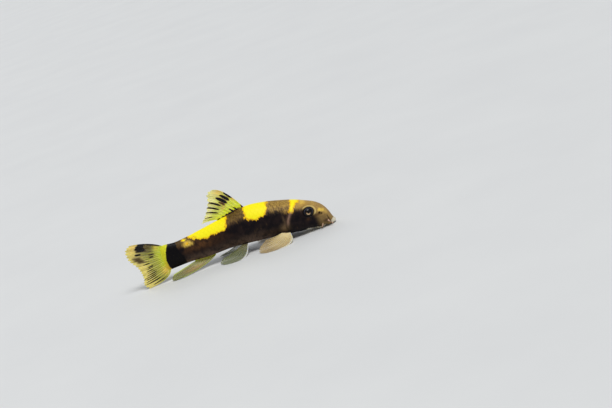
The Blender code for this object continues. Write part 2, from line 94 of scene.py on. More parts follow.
def flow(at, knots, values):
    """A smooth curve through a few values: cubic pieces whose slopes come from the neighbours."""
    at, knots, values = np.asarray(at, float), np.asarray(knots, float), np.asarray(values, float)
    steps = np.diff(knots)
    spread = (-1,) + (1,) * (values.ndim - 1)
    rises = np.diff(values, axis=0) / steps.reshape(spread)
    ahead, behind = steps[1:].reshape(spread), steps[:-1].reshape(spread)
    inner = (rises[:-1] * ahead + rises[1:] * behind) / (ahead + behind)
    slopes = np.concatenate([rises[:1], inner, rises[-1:]])
    piece = np.clip(np.searchsorted(knots, at) - 1, 0, len(steps) - 1)
    share = ((at - knots[piece]) / steps[piece]).reshape(at.shape + (1,) * (values.ndim - 1))
    length = steps[piece].reshape(share.shape)
    start, end = values[piece], values[piece + 1]
    lift = start * (1 + 2 * share) * (1 - share) ** 2 + end * share ** 2 * (3 - 2 * share)
    leaving = slopes[piece] * share * (1 - share) ** 2
    arriving = slopes[piece + 1] * share ** 2 * (1 - share)
    return lift + length * (leaving - arriving)


def along(outline, behind):
    """An outline's value at a distance behind the snout."""
    knots, values = np.array(outline, float).T
    return flow(np.sqrt(np.clip(behind, 0, TAIL_FIN_BASE)), np.sqrt(knots), values)


def ease(share):
    """A soft step from 0 to 1."""
    share = np.clip(share, 0, 1)
    return share * share * (3 - 2 * share)


def sway(behind):
    """The body's sideways drift behind the snout, below 0 towards the fish's right."""
    return -SWAY * np.maximum(np.asarray(behind, float) - SWAY_START, 0) ** 2


def place(behind, across, height):
    """A point in millimetres from its three distances."""
    behind, across, height = np.broadcast_arrays(
        np.asarray(behind, float), np.asarray(across, float), np.asarray(height, float))
    return np.stack([TOTAL_LENGTH / 2 - LIP_REACH - behind, across + sway(behind), height], axis=-1)


def distances(points):
    """The way back from points to (behind, across, height)."""
    behind = TOTAL_LENGTH / 2 - LIP_REACH - points[:, 0]
    return behind, points[:, 1] - sway(behind), points[:, 2]


def section(behind, angle):
    """Distance across and height of the outline at an angle from the back, 180 at the belly."""
    turn = np.radians(angle)
    top, bottom = along(BACK, behind), along(BELLY, behind)
    waist = bottom + along(WIDEST, behind) * (top - bottom)
    above = np.cos(turn) > 0
    power = 2 / np.where(above, along(SQUARE_ABOVE, behind), along(SQUARE_BELOW, behind))
    reach = np.where(above, top - waist, waist - bottom)
    across = along(HALF_BREADTH, behind) * np.sign(np.sin(turn)) * np.abs(np.sin(turn)) ** power
    height = waist + reach * np.sign(np.cos(turn)) * np.abs(np.cos(turn)) ** power
    return across, height


def angle_of(behind, across, height):
    """The angle from the back, 0 to 180, at which a point of the skin lies."""
    top, bottom = along(BACK, behind), along(BELLY, behind)
    waist = bottom + along(WIDEST, behind) * (top - bottom)
    above = height > waist
    power = np.where(above, along(SQUARE_ABOVE, behind), along(SQUARE_BELOW, behind)) / 2
    reach = np.maximum(np.where(above, top - waist, waist - bottom), 0.05)
    upward = (np.abs(height - waist) / reach) ** power
    sideward = (np.abs(across) / np.maximum(along(HALF_BREADTH, behind), 0.05)) ** power
    turned = np.degrees(np.arctan2(sideward, upward))
    return np.where(above, turned, 180 - turned)


def unit(vectors):
    """The same directions with a length of 1."""
    return vectors / np.maximum(np.linalg.norm(vectors, axis=-1, keepdims=True), 1e-9)


def skin_point(behind, angle):
    """The point of the bare outline at an angle from the back."""
    return place(behind, *section(behind, angle))


def skin_normal(behind, angle):
    """The outward direction of the bare outline."""
    lengthwise = skin_point(behind + 0.05, angle) - skin_point(behind - 0.05, angle)
    turning = skin_point(behind, angle + 1.0) - skin_point(behind, angle - 1.0)
    normal = unit(np.cross(turning, lengthwise))
    middle = place(behind, 0, (along(BACK, behind) + along(BELLY, behind)) / 2)
    return normal * np.sign(((skin_point(behind, angle) - middle) * normal).sum(-1, keepdims=True))


print("deepest at 28 mm behind the snout:", round(float(along(BACK, 28) - along(BELLY, 28)), 1), "mm")

# %% [markdown]
# ## Tools used for every piece
# Blender keeps mesh points in its own arrays. Reading them all at once with foreach_get and working on
# them with numpy is hundreds of times faster than a loop over vertices. A mask, such as "here the skin
# is yellow", is stored on the mesh as a named attribute, so that a material can read it.

# %% Mesh helpers
def read_points(mesh):
    points = np.empty(len(mesh.vertices) * 3, np.float32)
    mesh.vertices.foreach_get("co", points)
    return points.reshape(-1, 3).astype(float)


def write_points(mesh, points):
    mesh.vertices.foreach_set("co", np.asarray(points, np.float32).ravel())
    mesh.update()


def read_normals(mesh):
    normals = np.empty(len(mesh.vertices) * 3, np.float32)
    mesh.vertex_normals.foreach_get("vector", normals)
    return normals.reshape(-1, 3).astype(float)


def read_mask(mesh, name):
    values = np.empty(len(mesh.vertices), np.float32)
    mesh.attributes[name].data.foreach_get("value", values)
    return values.astype(float)


def write_mask(mesh, name, values):
    """Stores one number for each vertex under a name that a material can read."""
    layer = mesh.attributes.get(name) or mesh.attributes.new(name, "FLOAT", "POINT")
    layer.data.foreach_set("value", np.asarray(values, np.float32))


def mesh_object(name, shape):
    """Turns a bmesh, still in millimetres, into a smooth object."""
    mesh = bpy.data.meshes.new(name)
    shape.to_mesh(mesh)
    shape.free()
    mesh.shade_smooth()
    thing = bpy.data.objects.new(name, mesh)
    bpy.context.scene.collection.objects.link(thing)
    return thing


def finish_piece(thing, slot, material, *replaced):
    """Scales a piece to metres, gives it its material and lets it stand for its CAD nodes."""
    thing.data.transform(Matrix.Scale(MM, 4))
    thing.data.materials.clear()
    thing.data.materials.append(material)
    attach(thing, "root")
    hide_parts(*replaced)
    triangles = sum(len(face.vertices) - 2 for face in thing.data.polygons)
    print(thing.name, "has", triangles, "triangles")
    return thing


# %% [markdown]
# ## Tools for materials
# A material is a small network of nodes. Small helpers keep the networks readable: they add a node and
# wire its inputs, mix two colours by a share, do one step of arithmetic, read a mask, make noise, and
# turn a number into a soft share. Colours are written as a paint chart gives them, from 0 to 255, and
# turned into the linear values that Blender expects.

# %% Material helpers
def tint(red, green, blue):
    """A colour given from 0 to 255, as linear light with full alpha."""
    shares = [value / 255 for value in (red, green, blue)]
    return tuple(s / 12.92 if s < 0.04045 else ((s + 0.055) / 1.055) ** 2.4 for s in shares) + (1.0,)


def add_node(tree, kind, inputs=(), **settings):
    """Adds a node. Inputs map a socket's name or number to a value or to another node's output."""
    made = tree.nodes.new(kind)
    for name, value in settings.items():
        setattr(made, name, value)
    for socket, value in dict(inputs).items():
        if isinstance(value, bpy.types.NodeSocket):
            tree.links.new(value, made.inputs[socket])
        else:
            made.inputs[socket].default_value = value
    return made


def mix(tree, share, first, second):
    """The colour that lies a share of the way from the first to the second."""
    inputs = {0: share, 6: first, 7: second}
    return add_node(tree, "ShaderNodeMix", inputs, data_type="RGBA").outputs[2]


def sums(tree, operation, first, second=0.0, third=0.0):
    """One step of arithmetic. CLAMP_ before its name keeps the result between 0 and 1."""
    clamped = operation.startswith("CLAMP_")
    inputs = {0: first, 1: second, 2: third}
    made = add_node(tree, "ShaderNodeMath", inputs, operation=operation.replace("CLAMP_", ""),
                    use_clamp=clamped)
    return made.outputs[0]


def mask(tree, name):
    return add_node(tree, "ShaderNodeAttribute", attribute_name=name).outputs["Fac"]


def noise(tree, per_mm, detail=2.0, stretch=(1, 1, 1), roughness=0.5):
    """Cloudy noise from 0 to 1 on the piece's own coordinates, with so many clouds per millimetre."""
    spot = add_node(tree, "ShaderNodeTexCoord").outputs["Object"]
    spot = add_node(tree, "ShaderNodeMapping", {0: spot, 3: stretch}).outputs[0]
    inputs = {"Vector": spot, "Scale": per_mm / MM, "Detail": detail, "Roughness": roughness}
    return add_node(tree, "ShaderNodeTexNoise", inputs).outputs[0]


def step(tree, value, low, high):
    """Turns a number into a share: 0 below low, 1 above high and smooth between."""
    inputs = {"Value": value, "From Min": low, "From Max": high}
    return add_node(tree, "ShaderNodeMapRange", inputs, interpolation_type="SMOOTHSTEP").outputs[0]


def new_material(name, **sockets):
    """A Principled material with its constant values set on the shader's own sockets."""
    material = bpy.data.materials.new(name)
    material.use_nodes = True
    shader = material.node_tree.nodes["Principled BSDF"]
    for socket, value in sockets.items():
        shader.inputs[socket.replace("_", " ")].default_value = value
    return material, material.node_tree, shader


def raise_surface(tree, shader, height, depth_mm, strength=1.0):
    """Lets a pattern press fine relief into the surface."""
    inputs = {"Height": height, "Distance": depth_mm * MM, "Strength": strength}
    bump = add_node(tree, "ShaderNodeBump", inputs)
    tree.links.new(bump.outputs[0], shader.inputs["Normal"])


# %% [markdown]
# ## The body under the skin
# A body like this could be sculpted, or lofted ring by ring. Here it starts as a ball whose poles are
# the snout and the end of the tail stalk. Each ring of the ball becomes one section of the fish, so
# there are no seams to close and the two poles are closed from the start. Behind the last section a
# short rounded wedge lets the scaled end of the body run out over the tail fin.

# %% Body
END_CAP = 2.2  # how far the scaled body runs out over the tail fin
CAP_SHARE = 0.06  # share of the ball's rings that make this end
CAP_ROUND = 0.72  # how much of this end's narrowing comes late, which rounds it
CAP_TURN = 0.6  # the end's height shrinks as over this share of a quarter circle
RING_CROWDING = 1.6  # above 1, rings lie closer at the snout, where the outline turns fastest


def make_body():
    """The bare body as a bent and swollen ball, in millimetres."""
    ball = bmesh.new()
    bmesh.ops.create_uvsphere(ball, u_segments=180, v_segments=280, radius=1)
    spots = np.array([vert.co for vert in ball.verts])
    polar = np.degrees(np.arccos(np.clip(spots[:, 2], -1, 1))) / 180
    angle = np.degrees(np.arctan2(spots[:, 1], spots[:, 0]))
    behind = TAIL_FIN_BASE * np.clip(polar / (1 - CAP_SHARE), 0, 1) ** RING_CROWDING
    in_cap = np.clip((polar - 1 + CAP_SHARE) / CAP_SHARE, 0, 1) * math.pi / 2
    across, height = section(behind, angle)
    middle = (along(BACK, behind) + along(BELLY, behind)) / 2
    height = middle + (height - middle) * np.cos(CAP_TURN * in_cap)
    across = across * (1 - (1 - CAP_ROUND) * np.sin(in_cap) - CAP_ROUND * ease(np.sin(in_cap)))
    points = place(behind + END_CAP * np.sin(in_cap), across, height)
    for vert, point in zip(ball.verts, points):
        vert.co = point
    bmesh.ops.recalc_face_normals(ball, faces=ball.faces)
    return ball


body = make_body()
print("body starts with", len(body.verts), "points")

# %% [markdown]
# ## Lip, sucker and barbels
# The fish holds on with a round sucker on its lower lip, and a pale lip rolls round the front of the
# snout. Two pairs of short feelers, the barbels, hang beside the mouth. The sucker is a flattened
# ball cut level where it rests. The others are cones, cut into short lengths and bent along a curve.
# They are added to the body's own mesh, where the next step melts everything into one skin.

# %% Lip, sucker and barbels
DISC_BEHIND, DISC_HEIGHT = 5.3, 0.72
DISC_RADII = (2.3, 2.9, 0.95)
LIP_RADIUS, LIP_HEIGHT, LIP_HALF_BREADTH, LIP_CORNER = 0.68, 1.02, 2.9, 3.0
BARBELS = [((2.6, 3.55, 2.3), (1.9, 4.55, 2.0), (1.1, 4.05, 0.5), 0.36),
           ((4.5, 4.2, 1.7), (4.7, 5.0, 1.4), (5.4, 5.1, 0.65), 0.3)]  # root, bend, tip, radius
BARBEL_POINTS = 12
BARBEL_TAPER = 0.62  # the radius at the tip as a share of the radius at the root


def bent_cone(shape, line, radii, sides=16):
    """Adds a closed round rod along a line of points, made from a cone that is cut into short lengths."""
    rod = bmesh.new()
    bmesh.ops.create_cone(rod, cap_ends=True, segments=sides, radius1=1, radius2=1, depth=1)
    upright = [edge for edge in rod.edges if abs(edge.verts[0].co.z - edge.verts[1].co.z) > 0.5]
    bmesh.ops.subdivide_edges(rod, edges=upright, cuts=len(line) - 2)
    lengthwise = unit(np.gradient(line, axis=0))
    aside = unit(np.cross(lengthwise, (0.13, 0.21, 1.0)))  # from a direction that no rod follows
    upward = np.cross(aside, lengthwise)
    for vert in rod.verts:
        row = round((vert.co.z + 0.5) * (len(line) - 1))
        vert.co = line[row] + radii[row] * (vert.co.x * aside[row] + vert.co.y * upward[row])
    part = bpy.data.meshes.new("rod")
    rod.to_mesh(part)
    rod.free()
    shape.from_mesh(part)
    bpy.data.meshes.remove(part)


def bow(root, bend, tip, count=BARBEL_POINTS):
    """Points along a simple curve that leaves the root towards the bend and ends at the tip."""
    share = np.linspace(0, 1, count)[:, None]
    return (1 - share) ** 2 * root + 2 * share * (1 - share) * bend + share ** 2 * tip


def lip_line():
    """Points along the middle of the lip's roll, from side to side, and its radii."""
    turns = np.linspace(-1, 1, 25)
    centre = LIP_RADIUS - LIP_REACH
    behind = centre + (LIP_CORNER - centre) * turns ** 2
    across = LIP_HALF_BREADTH * turns * (1.25 - 0.25 * turns ** 2)
    return place(behind, across, LIP_HEIGHT), LIP_RADIUS * (1 - 0.4 * turns ** 2)


def barbel_line(root, bend, tip, side):
    """Points along one barbel on one side of the head."""
    corners = [place(behind, side * across, height) for behind, across, height in (root, bend, tip)]
    return bow(*corners)


sucker = bmesh.ops.create_uvsphere(body, u_segments=48, v_segments=24, radius=1)["verts"]
bmesh.ops.scale(body, vec=DISC_RADII, verts=sucker)
bmesh.ops.translate(body, vec=place(DISC_BEHIND, 0, DISC_HEIGHT), verts=sucker)
for vert in sucker:
    vert.co.z = max(vert.co.z, 0.0)
bent_cone(body, *lip_line())
for side in (-1, 1):
    for root, bend, tip, radius in BARBELS:
        radii = radius * np.linspace(1, BARBEL_TAPER, BARBEL_POINTS)
        bent_cone(body, barbel_line(root, bend, tip, side), radii)
bmesh.ops.recalc_face_normals(body, faces=body.faces)
print("with lip, sucker and barbels:", len(body.verts), "points")

# %% [markdown]
# ## Melting it into one skin
# The Remesh modifier fills the joined shapes with tiny cubes and wraps one even net of squares round
# them. The seams between body, lip, sucker and barbels are gone, and the squares are small enough,
# a sixth of a millimetre, to carry scales and nostrils as true relief. A little smoothing takes away
# the steps that the cubes leave.

# %% One skin
VOXEL = 0.164
SMOOTHINGS = 3  # rounds of smoothing


def melt(shape, name):
    """Wraps all that a bmesh holds in one even net of squares."""
    rough = mesh_object(name, shape)
    remesh = rough.modifiers.new("melt", "REMESH")
    remesh.mode = "VOXEL"
    remesh.voxel_size = VOXEL
    graph = bpy.context.evaluated_depsgraph_get()
    even = bpy.data.meshes.new_from_object(rough.evaluated_get(graph))
    bpy.data.objects.remove(rough)
    smooth = bmesh.new()
    smooth.from_mesh(even)
    for _ in range(SMOOTHINGS):
        bmesh.ops.smooth_vert(smooth, verts=smooth.verts, factor=0.5, use_axis_x=True, use_axis_y=True,
                              use_axis_z=True)
    return mesh_object(name, smooth)


skin = melt(body, "skin")
print("skin net:", len(skin.data.polygons), "squares")

# %% [markdown]
# ## Eyes, gill covers, nostrils and mouth
# On a real fish the eye looks out of a raised ring of skin, the gill cover is a plate whose free edge
# stands off the body, and the nostrils are small pits. These forms are pushed out of the skin or
# pressed into it along its own normals, as a sculptor would do, by an amount that depends on how far
# each point is from the form. Where the eye comes through, the skin dips in behind it.

# %% Forms of the head
EYE_BEHIND, EYE_HEIGHT = 8.0, 7.5
EYE_RADIUS, EYE_DEPTH_RADIUS, EYE_BULGE = 1.89, 1.5, 0.74
EYE_OPENING = 1.61
EYE_STRETCH = 1.22  # the eye is longer than it is tall
ORBIT_RING = 2.02  # radius of the raised skin round the eye
GILL_TOP, GILL_REACH = 12.4, 4.3
NOSTRILS = [(3.8, 5.35, 0.26), (4.45, 5.75, 0.4)]  # behind, height, radius
NOSTRIL_FLAP = (4.13, 5.6)
DISC_RING = 0.62  # where the sucker's pad ends, as a share of the way to its rim
HEAD_END = 16.2


def bell(value, middle=0.0, width=1.0, power=2):
    """1 at the middle, falling softly to 0 on both sides. A power of 4 gives it a flat top."""
    return np.exp(-((value - middle) / width) ** power)


def blot(behind, height, at, level, length, depth):
    """A soft oval spot, 1 in its middle."""
    return bell(behind, at, length) * bell(height, level, depth)


def gill_edge(angle):
    """Where the gill cover ends behind the snout, at an angle from the back."""
    return GILL_TOP + GILL_REACH * ease((angle - 33) / 73) * ease((174 - angle) / 70)


def eye_frame(side):
    """The point of the skin in front of an eye and three directions: outward, forward and up."""
    angles = np.linspace(5, 120, 800)
    heights = section(np.full(800, EYE_BEHIND), angles)[1]
    angle = np.array(side * np.interp(-EYE_HEIGHT, -heights, angles))
    outward = skin_normal(np.array(EYE_BEHIND), angle)
    forward = unit(np.cross((0, 0, 1.0), outward) * side)
    forward = forward * np.sign(forward[0])
    return skin_point(np.array(EYE_BEHIND), angle), outward, forward, np.array([0, 0, 1.0])


def oval_radius(flat, forward):
    """Distance from an eye's axis, where lengthwise distances count for less."""
    lengthwise = flat @ forward
    return np.sqrt((flat ** 2).sum(axis=1) - lengthwise ** 2 + (lengthwise / EYE_STRETCH) ** 2)


def from_eye(points, side):
    """Distance of points from an eye's axis, and how far forward and up of it they are."""
    centre, outward, forward, up = eye_frame(side)
    apart = points - centre
    flat = apart - (apart @ outward)[:, None] * outward
    return oval_radius(flat, forward), flat @ forward, flat @ up


def orbit_relief(points):
    """The raised ring round each eye, the fold outside it and the socket within."""
    lift = np.zeros(len(points))
    for side in (-1, 1):
        radius = from_eye(points, side)[0]
        near = (points[:, 1] * side > 0) & (radius < 6)
        ring = 0.3 * bell(radius, ORBIT_RING, 0.4)
        fold = -0.07 * bell(radius, 2.95, 0.22)
        socket = -1.35 * ease((EYE_OPENING + 0.06 - radius) / 0.3)
        lift += near * (ring + fold + socket)
    return lift


def gill_relief(behind, height, angle):
    """The plate of the gill cover, the slit behind it and the crease on the cheek."""
    ahead = gill_edge(angle) - behind
    plate = 0.3 * ease((behind - 10.2) / 4.2) * bell(height, 5.4, 4.1, power=4)
    on_plate = ease(ahead / 0.16)
    slit = -0.2 * bell(ahead, -0.22, 0.2) * bell(height, 5.2, 4.2, power=4)
    crease = -0.06 * bell(behind, 10.6 + 0.06 * (height - 6) ** 2, 0.22)
    crease *= ease((height - 2.2) / 0.8) * ease((8.6 - height) / 1.0)
    return plate * on_plate + slit + crease


def cheek_relief(behind, height):
    """The soft swelling of the cheek."""
    return 0.25 * blot(behind, height, 10.3, 4.2, 2.4, 2.3)


def nostril_relief(behind, across, height):
    """Two pits on each side, with raised rims and a small flap of skin between them."""
    lift = 0.2 * blot(behind, height, *NOSTRIL_FLAP, 0.12, 0.3)
    for at, level, radius in NOSTRILS:
        away = np.hypot(behind - at, height - level)
        lift += 0.08 * bell(away, radius + 0.14, 0.13) - 0.45 * bell(away, 0, radius, power=4)
    return lift * (np.abs(across) > 1.5)


def mouth_slit(across):
    """How far behind the snout the mouth opens, between the upper lip and the sucker."""
    return 2.35 + 0.2 * across ** 2


def disc_place(behind, across):
    """0 in the middle of the sucker and 1 at its rim."""
    return np.hypot((behind - DISC_BEHIND) / DISC_RADII[0], across / DISC_RADII[1])


def lobe_line(height):
    """How far behind the snout the groove lies that parts off its pale lobe."""
    return 1.62 + 0.22 * (height - 1.2)


def mouth_relief(behind, across, height):
    """The groove behind the snout's lobe, the slit of the mouth and the ring in the sucker."""
    groove = -0.14 * bell(behind, lobe_line(height), 0.2)
    groove *= ease((4.6 - height) / 0.8) * ease((height - 0.9) / 0.5)
    slit = -0.45 * bell(behind, mouth_slit(across), 0.2) * ease((1.3 - height) / 0.4)
    ring = -0.3 * bell(disc_place(behind, across), DISC_RING, 0.09) * (height < 0.4)
    return groove + slit + ring


def shape_head(mesh):
    """Pushes all the forms of the head out of the skin or into it."""
    points, normals = read_points(mesh), read_normals(mesh)
    behind, across, height = distances(points)
    angle = angle_of(behind, across, height)
    on_head = 1 - ease((behind - HEAD_END) / 0.6)
    lift = orbit_relief(points) + nostril_relief(behind, across, height)
    lift += cheek_relief(behind, height) * (np.abs(across) / 5)
    lift += gill_relief(behind, height, angle) * on_head
    lift += mouth_relief(behind, across, height) * (behind < 8)
    write_points(mesh, points + normals * lift[:, None])
    return lift


head_lift = shape_head(skin.data)
print("head forms reach from", round(head_lift.min(), 2), "to", round(head_lift.max(), 2), "mm")

# %% [markdown]
# ## Scales
# The scales of this fish overlap like roof tiles: each one lies over the next towards the tail, and
# rows are staggered. A scale could be modelled once and copied, but a thousand copies would float on
# the body. Raising the skin itself keeps it one piece. At every point the rule finds the foremost
# scale that reaches over it and how far its free edge is. The skin rises towards that edge and drops
# behind it.

# %% Scales
SCALE_LENGTH = 1.55
SCALE_ROW = 1.3
SCALE_RISE = 0.085


def girth_table():
    """Distance along the skin from the middle of the back, for stations and angles."""
    stations = np.linspace(0, TAIL_FIN_BASE, 120)
    angles = np.linspace(0, 180, 61)
    points = np.stack(section(stations[:, None], angles[None, :]), axis=-1)
    steps = np.linalg.norm(np.diff(points, axis=1), axis=-1)
    return np.concatenate([np.zeros((len(stations), 1)), np.cumsum(steps, axis=1)], axis=1)


def girth_at(behind, angle):
    """Reads the table between its stations and angles."""
    table = girth_table()
    row = np.clip(behind / TAIL_FIN_BASE * (table.shape[0] - 1), 0, table.shape[0] - 1.001)
    column = np.clip(angle / 180 * (table.shape[1] - 1), 0, table.shape[1] - 1.001)
    r, c = row.astype(int), column.astype(int)
    down, right = row - r, column - c
    upper = table[r, c] * (1 - right) + table[r, c + 1] * right
    lower = table[r + 1, c] * (1 - right) + table[r + 1, c + 1] * right
    return upper * (1 - down) + lower * down


def scale_pattern(behind, girth):
    """For each point the distance to its scale's free edge and a number that names the scale."""
    across_rows = girth / SCALE_ROW
    best_start = np.full(len(behind), 1e9)
    to_edge = np.zeros(len(behind))
    name = np.zeros(len(behind), int)
    first_row = np.floor(across_rows).astype(int)
    for row in (first_row, first_row + 1):
        off = across_rows - row
        reach = SCALE_LENGTH * 0.95 * np.sqrt(np.clip(1 - off ** 2, 0, 1))
        shift = np.where(row % 2 == 0, 0.0, SCALE_LENGTH / 2)
        number = np.ceil((behind - reach - shift) / SCALE_LENGTH)
        start = shift + number * SCALE_LENGTH
        better = start < best_start
        best_start = np.where(better, start, best_start)
        to_edge = np.where(better, start + reach - behind, to_edge)
        name = np.where(better, row * 101 + number.astype(int), name)
    return to_edge, name


def scaled_share(behind, angle):
    """How strongly scales show: none on the head, faint on the belly and at the tail fin."""
    start = ease((behind - gill_edge(angle) - 0.2) / 1.6)
    nape = ease((behind - 13.5) / 2.0)
    return start * nape * (1 - 0.75 * ease((angle - 150) / 20)) * (1 - 0.6 * ease((behind - 58.5) / 2))


def raise_scales(mesh):
    """Lifts the skin into scales and gives back where each point lies on its scale."""
    points, normals = read_points(mesh), read_normals(mesh)
    behind, across, height = distances(points)
    angle = angle_of(behind, across, height)
    to_edge, name = scale_pattern(behind, girth_at(behind, angle))
    tilt = 1 - to_edge / (1.9 * SCALE_LENGTH)
    edge = ease(to_edge / 0.12)
    lift = SCALE_RISE * (tilt * edge - 0.45) * scaled_share(behind, angle)
    points = points + normals * lift[:, None]
    points[:, 2] = np.maximum(points[:, 2], 0.0)
    write_points(mesh, points)
    return to_edge, name


scale_edge, scale_name = raise_scales(skin.data)
print("scales on the body:", len(np.unique(scale_name)))

# %% [markdown]
# ## Where the colours go
# The fish is black-brown with an olive back, three bright yellow saddles and a black band before the
# tail fin. Each marking is a region given by a few corners, in distance behind the snout and height.
# Its mask is the distance in from the region's border, so the material can still fray the border.
# Colour in fish skin changes from scale to scale, so each scale adds its own small random amount.

# %% Borders of the markings
NAPE_BAR = [(9.1, 15), (9.3, 11.7), (10.3, 11.3), (11.3, 11.3), (12.2, 10.6), (12.9, 9.4), (13.4, 8.9),
            (14.4, 9.2), (14.4, 10), (13.8, 11.3), (13.2, 12.2), (12.7, 15)]
FRONT_SADDLE = [(19.9, 18), (20.6, 14.9), (21.4, 13.4), (22.3, 12), (23.3, 11.1), (24.3, 11.15),
                (25.3, 11.1), (26.7, 11), (29.1, 11.8), (29.8, 12.7), (29.4, 15.1), (28.6, 18)]
REAR_SADDLE = [(35.4, 18), (35.7, 14), (36.2, 12.3), (37.2, 11), (40, 10.7), (42.3, 10.6), (44, 10.2),
               (46.3, 10.5), (48.8, 11.3), (50.1, 11.6), (51.2, 12.3), (51.5, 15)]
BAND_REAR = [(58.6, 2), (59, 3.3), (59.9, 4.7), (60.2, 7.3), (59.6, 9.8), (58.9, 11.4), (58.2, 12.3)]
TAIL_BAND = [(55.9, 15), (55.6, 11.9), (54.8, 9.3), (53.8, 6.4), (53.5, 4.9), (54.6, 3.4), (56, 2),
             *BAND_REAR, (58, 15)]
TAIL_ROOT = [(58.1, 15), *reversed(BAND_REAR), (64, 2), (64, 15)]


def depth_inside(corners, behind, height):
    """Distance in from a region's border, positive inside and negative outside."""
    corners = np.array(corners, float)
    ends = np.roll(corners, -1, axis=0)
    spots = np.stack([behind, height], axis=-1)
    nearest = np.full(len(behind), 1e9)
    inside = np.zeros(len(behind), bool)
    for start, end in zip(corners, ends):
        edge = end - start
        share = np.clip(((spots - start) @ edge) / (edge @ edge), 0, 1)
        nearest = np.minimum(nearest, np.linalg.norm(spots - start - share[:, None] * edge, axis=1))
        crosses = (start[1] > height) != (end[1] > height)
        with np.errstate(divide="ignore", invalid="ignore"):
            meets = start[0] + (height - start[1]) / (end[1] - start[1]) * edge[0]
        inside ^= crosses & (behind < meets)
    return np.where(inside, nearest, -nearest)


flesh = skin.data
points = read_points(flesh)
behind, across, height = distances(points)
angle = angle_of(behind, across, height)
inside_band = depth_inside(TAIL_BAND, behind, height)
print("the tail band covers", round(100 * float((inside_band > 0).mean())), "per cent of the skin's points")

# %% [markdown]
# ### Saddles, band and scales
# The bright saddles could be painted by hand on an unwrapped picture of the skin. Borders given by
# corners keep them the same on both sides and easy to move. The front saddle and the nape's bar are
# clean yellow, and a part of the rear one is duller. Each scale also has a darker rim at its back,
# except where the skin is yellow.

# %% Saddles, band and scales
SEED = 7
DULL_PATCH = (47.8, 12.3, 1.4, 0.9)
CRUMBS = [(51.6, 10.6, 1.8, 1.15), (52.3, 12.0, 1.2, 0.55)]  # bits of yellow before the tail band
ORANGE_ROOT = (60.2, 4.2, 2.2, 2.4)

scaled = scaled_share(behind, angle)
chance = np.random.default_rng(SEED).random(20000)[np.abs(scale_name) % 20000]
jitter = (chance - 0.5) * 0.9 * scaled
bars = [depth_inside(bar, behind, height) for bar in (NAPE_BAR, FRONT_SADDLE, REAR_SADDLE)]
bars[2] = bars[2] - 0.7 * blot(behind, height, *DULL_PATCH)
in_bars = np.max(bars, axis=0)
crumbs = np.max([blot(behind, height, *crumb) for crumb in CRUMBS], axis=0)
write_mask(flesh, "yellow", np.maximum(in_bars, 2.0 * crumbs - 1.5) + 0.7 * jitter)
write_mask(flesh, "band", inside_band + 0.5 * jitter)
write_mask(flesh, "tail_root", depth_inside(TAIL_ROOT, behind, height) + 0.3 * jitter)
write_mask(flesh, "orange", blot(behind, height, *ORANGE_ROOT))
on_rim = (1 - ease(scale_edge / 0.32)) * scaled
write_mask(flesh, "scale_rim", on_rim * (1 - 0.8 * ease(in_bars / 0.6)))
print("yellow covers", round(100 * float((in_bars > 0).mean())), "per cent of the skin's points")

# %% [markdown]
# ### Back, flank, belly and head
# These colours have no borders on the real fish: they fade into each other. So their masks are soft
# steps along the body or round it, and small gold, brown and dark marks on the head are soft spots.

# %% Back, flank, belly and head
# Soft spots: behind, height, half length, half height and strength
OLIVE_SPOTS = [(15.6, 9.9, 0.9, 0.9, 0.35)]
WARM_SPOTS = [(46.5, 8.9, 7, 1.9, 1), (8.8, 5.2, 0.7, 0.5, 0.7)]
GOLD_SPOTS = [(4.2, 6.8, 0.8, 0.65, 1), (3.1, 6.25, 0.7, 0.6, 0.75), (2.3, 5.1, 0.7, 0.9, 0.5),
              (5.6, 9.4, 1.4, 1.0, 0.45), (8.9, 11.1, 1.5, 0.9, 0.8), (49.8, 10.1, 0.9, 0.7, 0.3)]
SMEAR_SPOTS = [(5.1, 5.5, 1.4, 0.6, 1), (3.0, 2.5, 1.2, 0.6, 1), (10.3, 8.7, 1.3, 0.7, 0.45)]
SHOULDER_SPOTS = [(17.5, 5.0, 1.5, 1.3, 0.95), (17.0, 7.8, 0.4, 1.4, 0.5)]


def soft_spots(marks):
    """The sum of several soft spots at every point of the skin."""
    return sum(strength * blot(behind, height, *spot) for *spot, strength in marks)


upward_share = (height - along(BELLY, behind)) / (along(BACK, behind) - along(BELLY, behind))
back = ease((upward_share - 0.6) / 0.38) * ease((behind - 8) / 3) + soft_spots(OLIVE_SPOTS)
write_mask(flesh, "back", back + 0.2 * jitter)
write_mask(flesh, "dull_back", ease((behind - 24) / 9))
write_mask(flesh, "rear_back", 0.75 * ease((behind - 46) / 5))
rear_belly = ease((0.42 - upward_share) / 0.4) * ease((behind - 17) / 10)
write_mask(flesh, "belly", np.maximum(rear_belly, ease((angle - 150) / 20)))
crown = ease((height - 7.2 - 0.12 * behind) / 2.4) * (1 - ease((behind - 9.5) / 4))
write_mask(flesh, "crown", crown)
snout = (1 - ease((behind - 4.2 - 0.25 * np.maximum(height - 4, 0)) / 2.8)) ** 1.3
write_mask(flesh, "snout", snout)
write_mask(flesh, "muzzle", ease((5.6 - height) / 1.5) * (0.4 + 0.6 * ease((behind - 1.8) / 1.4)))
write_mask(flesh, "warm_flank", soft_spots(WARM_SPOTS))
write_mask(flesh, "gold", soft_spots(GOLD_SPOTS) + 1.1 * crumbs)
write_mask(flesh, "smear", soft_spots(SMEAR_SPOTS))
write_mask(flesh, "shoulder", soft_spots(SHOULDER_SPOTS))
print("the olive back is full at", int((back > 0.9).sum()), "points")

# %% [markdown]
# ### Eye rims, gill covers, lip and barbels
# Pale skin edges the eye, the gill cover, the lip and the feelers. These masks follow the forms that
# the earlier steps made, through the same functions, so colour and shape can't drift apart.

# %% Eye rims, gill covers, lip and barbels
BARBEL_PALE = (1.0, 0.6)  # the front pair is paler than the hind pair


